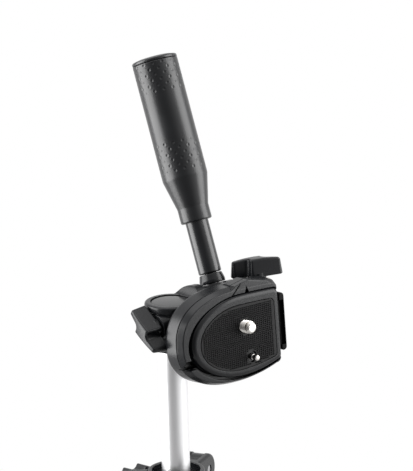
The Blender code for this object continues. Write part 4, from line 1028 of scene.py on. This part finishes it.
def leg(number):
    """One leg. Clamps, levers and feet are moved in their meshes, so their boxes stay upright."""
    place = leg_place(number)
    tag = "leg_%d_" % number
    plug = TUBES["upper"][0] - TUBE_WALL - GAP
    seat = -SHOULDER_AT - SHOULDER_H
    plug_end = seat - PLUG_DEPTH
    head = turned(rounded([(0, -SHOULDER_AT), (SHOULDER_R, -SHOULDER_AT, 1.5), (SHOULDER_R, seat, 0.4),
                           (plug, seat), (plug, plug_end, 0.5), (0, plug_end)]), 72)
    tongue = arc(0, 0, TONGUE_R, 0, 180, 36)
    tongue += [(-TONGUE_R, -SHOULDER_AT - 3), (TONGUE_R, -SHOULDER_AT - 3)]
    tongue = moved(slab(tongue, rim(-TONGUE_HALF, TONGUE_HALF, 0.5, 0.5, 3)), FROM_XZ)
    head = worked(head, [tongue], [moved(rod(HIP_HOLE_R, -20, 20), FROM_XZ)])
    fit(tag + "shoulder", head, "moulded black", "leg_%d" % number, [tag + "head"], place)
    bodies = {"upper": "leg_%d" % number, "middle": tag + "middle", "lower": tag + "lower"}
    for section_name, (radius, start, end) in TUBES.items():
        fit(tag + section_name + "_section", pipe(radius, TUBE_WALL, -start, -end), "satin aluminium",
            bodies[section_name], [tag + section_name + "_tube"], place)
    for upper, lower, node in (("upper", "middle", "upper"), ("middle", "lower", "lower")):
        collar, pivot = leg_clamp(TUBES[upper][0], TUBES[lower][0], TUBES[upper][2])
        fit(tag + node + "_clamp_collar", moved(collar, place), "moulded black", bodies[upper],
            [tag + node + "_clamp"], Matrix())
        fit(tag + node + "_clamp_lever", moved(clamp_lever(), place @ pivot), "gloss black",
            tag + node + "_flip", [tag + node + "_lever"], Matrix())
    bore = TUBES["lower"][0] + GAP
    roof = -TUBES["lower"][2] - GAP
    shoulder = FOOT_H - FOOT_BALL
    profile = rounded([(0, roof), (bore, roof), (bore, shoulder, 0.2), (FOOT_R, shoulder, 0.7),
                       (FOOT_R, -FOOT_BALL)])
    foot = turned(profile + arc(0, -FOOT_BALL, FOOT_R, -3, -90, 24), 72)
    ground = moved(block((-150, -150, -30), (150, 150, 0)), place.inverted())
    foot = moved(worked(foot, cuts=[ground]), place)
    fit(tag + "foot_rubber", foot, "foot rubber", bodies["lower"], [tag + "foot"], Matrix())


def small_pieces():
    """Pins, shafts, washers, the spring and the plugs keep their solids' shapes and get a finish.

    The solids that finished pieces replace are hidden by now.
    """
    for name, node in frame["nodes"].items():
        if node.hide_render:
            continue
        plastic = name in ("column_foot", "column_spigot")
        finish = "moulded black" if plastic else "nickel" if "washer" in name else "steel"
        node.data.materials.clear()
        node.data.materials.append(FINISHES[finish][0])


# Studio

def area_light(name, turn, height, distance, width, tall, radiance):
    """A soft box that faces the head. A positive turn goes from the camera to the picture's left."""
    target = Vector(JOINTS["tilt"]["pos_m"])
    a = YAW + math.pi + math.radians(turn)
    lamp = bpy.data.lights.new(name, "AREA")
    lamp.shape = "RECTANGLE"
    lamp.size = width
    lamp.size_y = tall
    lamp.energy = radiance * math.pi * width * tall
    obj = bpy.data.objects.new(name, lamp)
    obj.visible_camera = False
    obj.location = target + Vector((math.sin(a) * distance, math.cos(a) * distance, height))
    aim = target - obj.location
    obj.rotation_euler = aim.to_track_quat("-Z", "Y").to_euler()
    bpy.context.scene.collection.objects.link(obj)


def studio():
    """White to the camera, with white sides and a dim front in reflections, and a dim light all round.

    Three soft boxes face the head, and the floor fades out into the white.
    """
    world = bpy.data.worlds.new("studio")
    bpy.context.scene.world = world
    world.use_nodes = True
    world.node_tree.nodes.clear()
    finish = Finish(world.node_tree)
    direction = finish.add("ShaderNodeTexCoord", output="Generated")
    front = YAW + math.radians(ROOM_FRONT)
    facing = finish.add("ShaderNodeVectorMath", {"operation": "DOT_PRODUCT"},
                        {0: direction, 1: (math.sin(front), math.cos(front), 0.0)}, "Value")
    side = 1 - finish.ramp(facing, SIDES_FROM, SIDES_TO)
    ray = "ShaderNodeLightPath"
    seen = finish.add(ray, output="Is Camera Ray")
    mirrored = finish.add(ray, output="Is Glossy Ray") + finish.add(ray, output="Is Transmission Ray")
    room = finish.add("ShaderNodeBackground", {}, {"Color": (1.0, 1.0, 1.0, 1.0), "Strength": ROOM_LIGHT})
    white = finish.add("ShaderNodeBackground", {}, {"Color": (1.0, 1.0, 1.0, 1.0), "Strength": 1.0})
    share = finish.add("ShaderNodeMath", {"operation": "MINIMUM"}, {0: seen + mirrored * side, 1: 1.0})
    shown = finish.add("ShaderNodeMixShader", {}, {0: share, 1: room, 2: white})
    finish.add("ShaderNodeOutputWorld", {}, {"Surface": shown})

    floor = turned([(0, 0)] + [(radius, 0) for radius in FLOOR_RINGS], 96)
    obj = bpy.data.objects.new("floor", floor)
    bpy.context.scene.collection.objects.link(obj)
    obj.location.z = -FLOOR_BELOW
    material = bpy.data.materials.new("pale_floor")
    material.use_nodes = True
    material.node_tree.nodes.clear()
    finish = Finish(material.node_tree)
    place = finish.add("ShaderNodeTexCoord", output="Object")
    out = finish.add("ShaderNodeVectorMath", {"operation": "LENGTH"}, {0: place}, "Value")
    grain = finish.noise(place, 40.0)
    tone = finish.blend(grain, (0.86, 0.86, 0.86, 1.0), (0.90, 0.90, 0.90, 1.0))
    card = finish.add("ShaderNodeBsdfDiffuse", {}, {"Color": tone})
    glow = finish.add("ShaderNodeEmission", {}, {"Color": (1.0, 1.0, 1.0, 1.0), "Strength": 1.0})
    fade = finish.ramp(out, FLOOR_FADE_FROM, FLOOR_FADE_TO)
    seen = finish.add(ray, output="Is Camera Ray")
    mirrored = finish.add(ray, output="Is Glossy Ray") + finish.add(ray, output="Is Transmission Ray")
    share = (seen + mirrored) * (FLOOR_GLOW + fade * (1 - FLOOR_GLOW))
    finish.add("ShaderNodeOutputMaterial", {},
               {"Surface": finish.add("ShaderNodeMixShader", {}, {0: share, 1: card, 2: glow})})
    floor.materials.append(material)

    area_light("right_box", turn=-88, height=0.28, distance=0.95, width=0.7, tall=1.0, radiance=4.6)
    area_light("left_box", turn=84, height=0.12, distance=0.95, width=0.85, tall=1.3, radiance=5.9)
    area_light("top_box", turn=150, height=1.1, distance=0.25, width=0.9, tall=0.9, radiance=1.6)


def camera():
    """A pinhole camera that puts the tilt axis where the photograph shows it."""
    forward = Vector((math.sin(YAW) * math.cos(PITCH), math.cos(YAW) * math.cos(PITCH), -math.sin(PITCH)))
    right = Vector((math.cos(YAW), -math.sin(YAW), 0))
    up = right.cross(forward)
    x = math.cos(ROLL) * right + math.sin(ROLL) * up
    y = math.cos(ROLL) * up - math.sin(ROLL) * right
    dx = (TILT_AXIS_PX[0] - IMAGE_W / 2) / FOCAL_PX
    dy = (IMAGE_H / 2 - TILT_AXIS_PX[1]) / FOCAL_PX
    anchor = Vector(JOINTS["tilt"]["pos_m"])
    position = anchor - DISTANCE * (forward + dx * x + dy * y)
    data = bpy.data.cameras.new("camera")
    data.sensor_fit = "AUTO"
    data.sensor_width = SENSOR
    data.lens = SENSOR * FOCAL_PX / IMAGE_H
    obj = bpy.data.objects.new("camera", data)
    obj.matrix_world = Matrix.Translation(position) @ Matrix((x, y, -forward)).transposed().to_4x4()
    bpy.context.scene.collection.objects.link(obj)
    bpy.context.scene.camera = obj


bpy.context.scene.view_settings.view_transform = "Standard"
pan_head()
tilt_body()
handle()
lower_shell()
upper_shell()
quick_plate()
studded_pad()
plate_metal()
release_lever()
flip_hinge()
column_and_spider()
for leg_number in (1, 2, 3):
    leg(leg_number)
small_pieces()
studio()
camera()
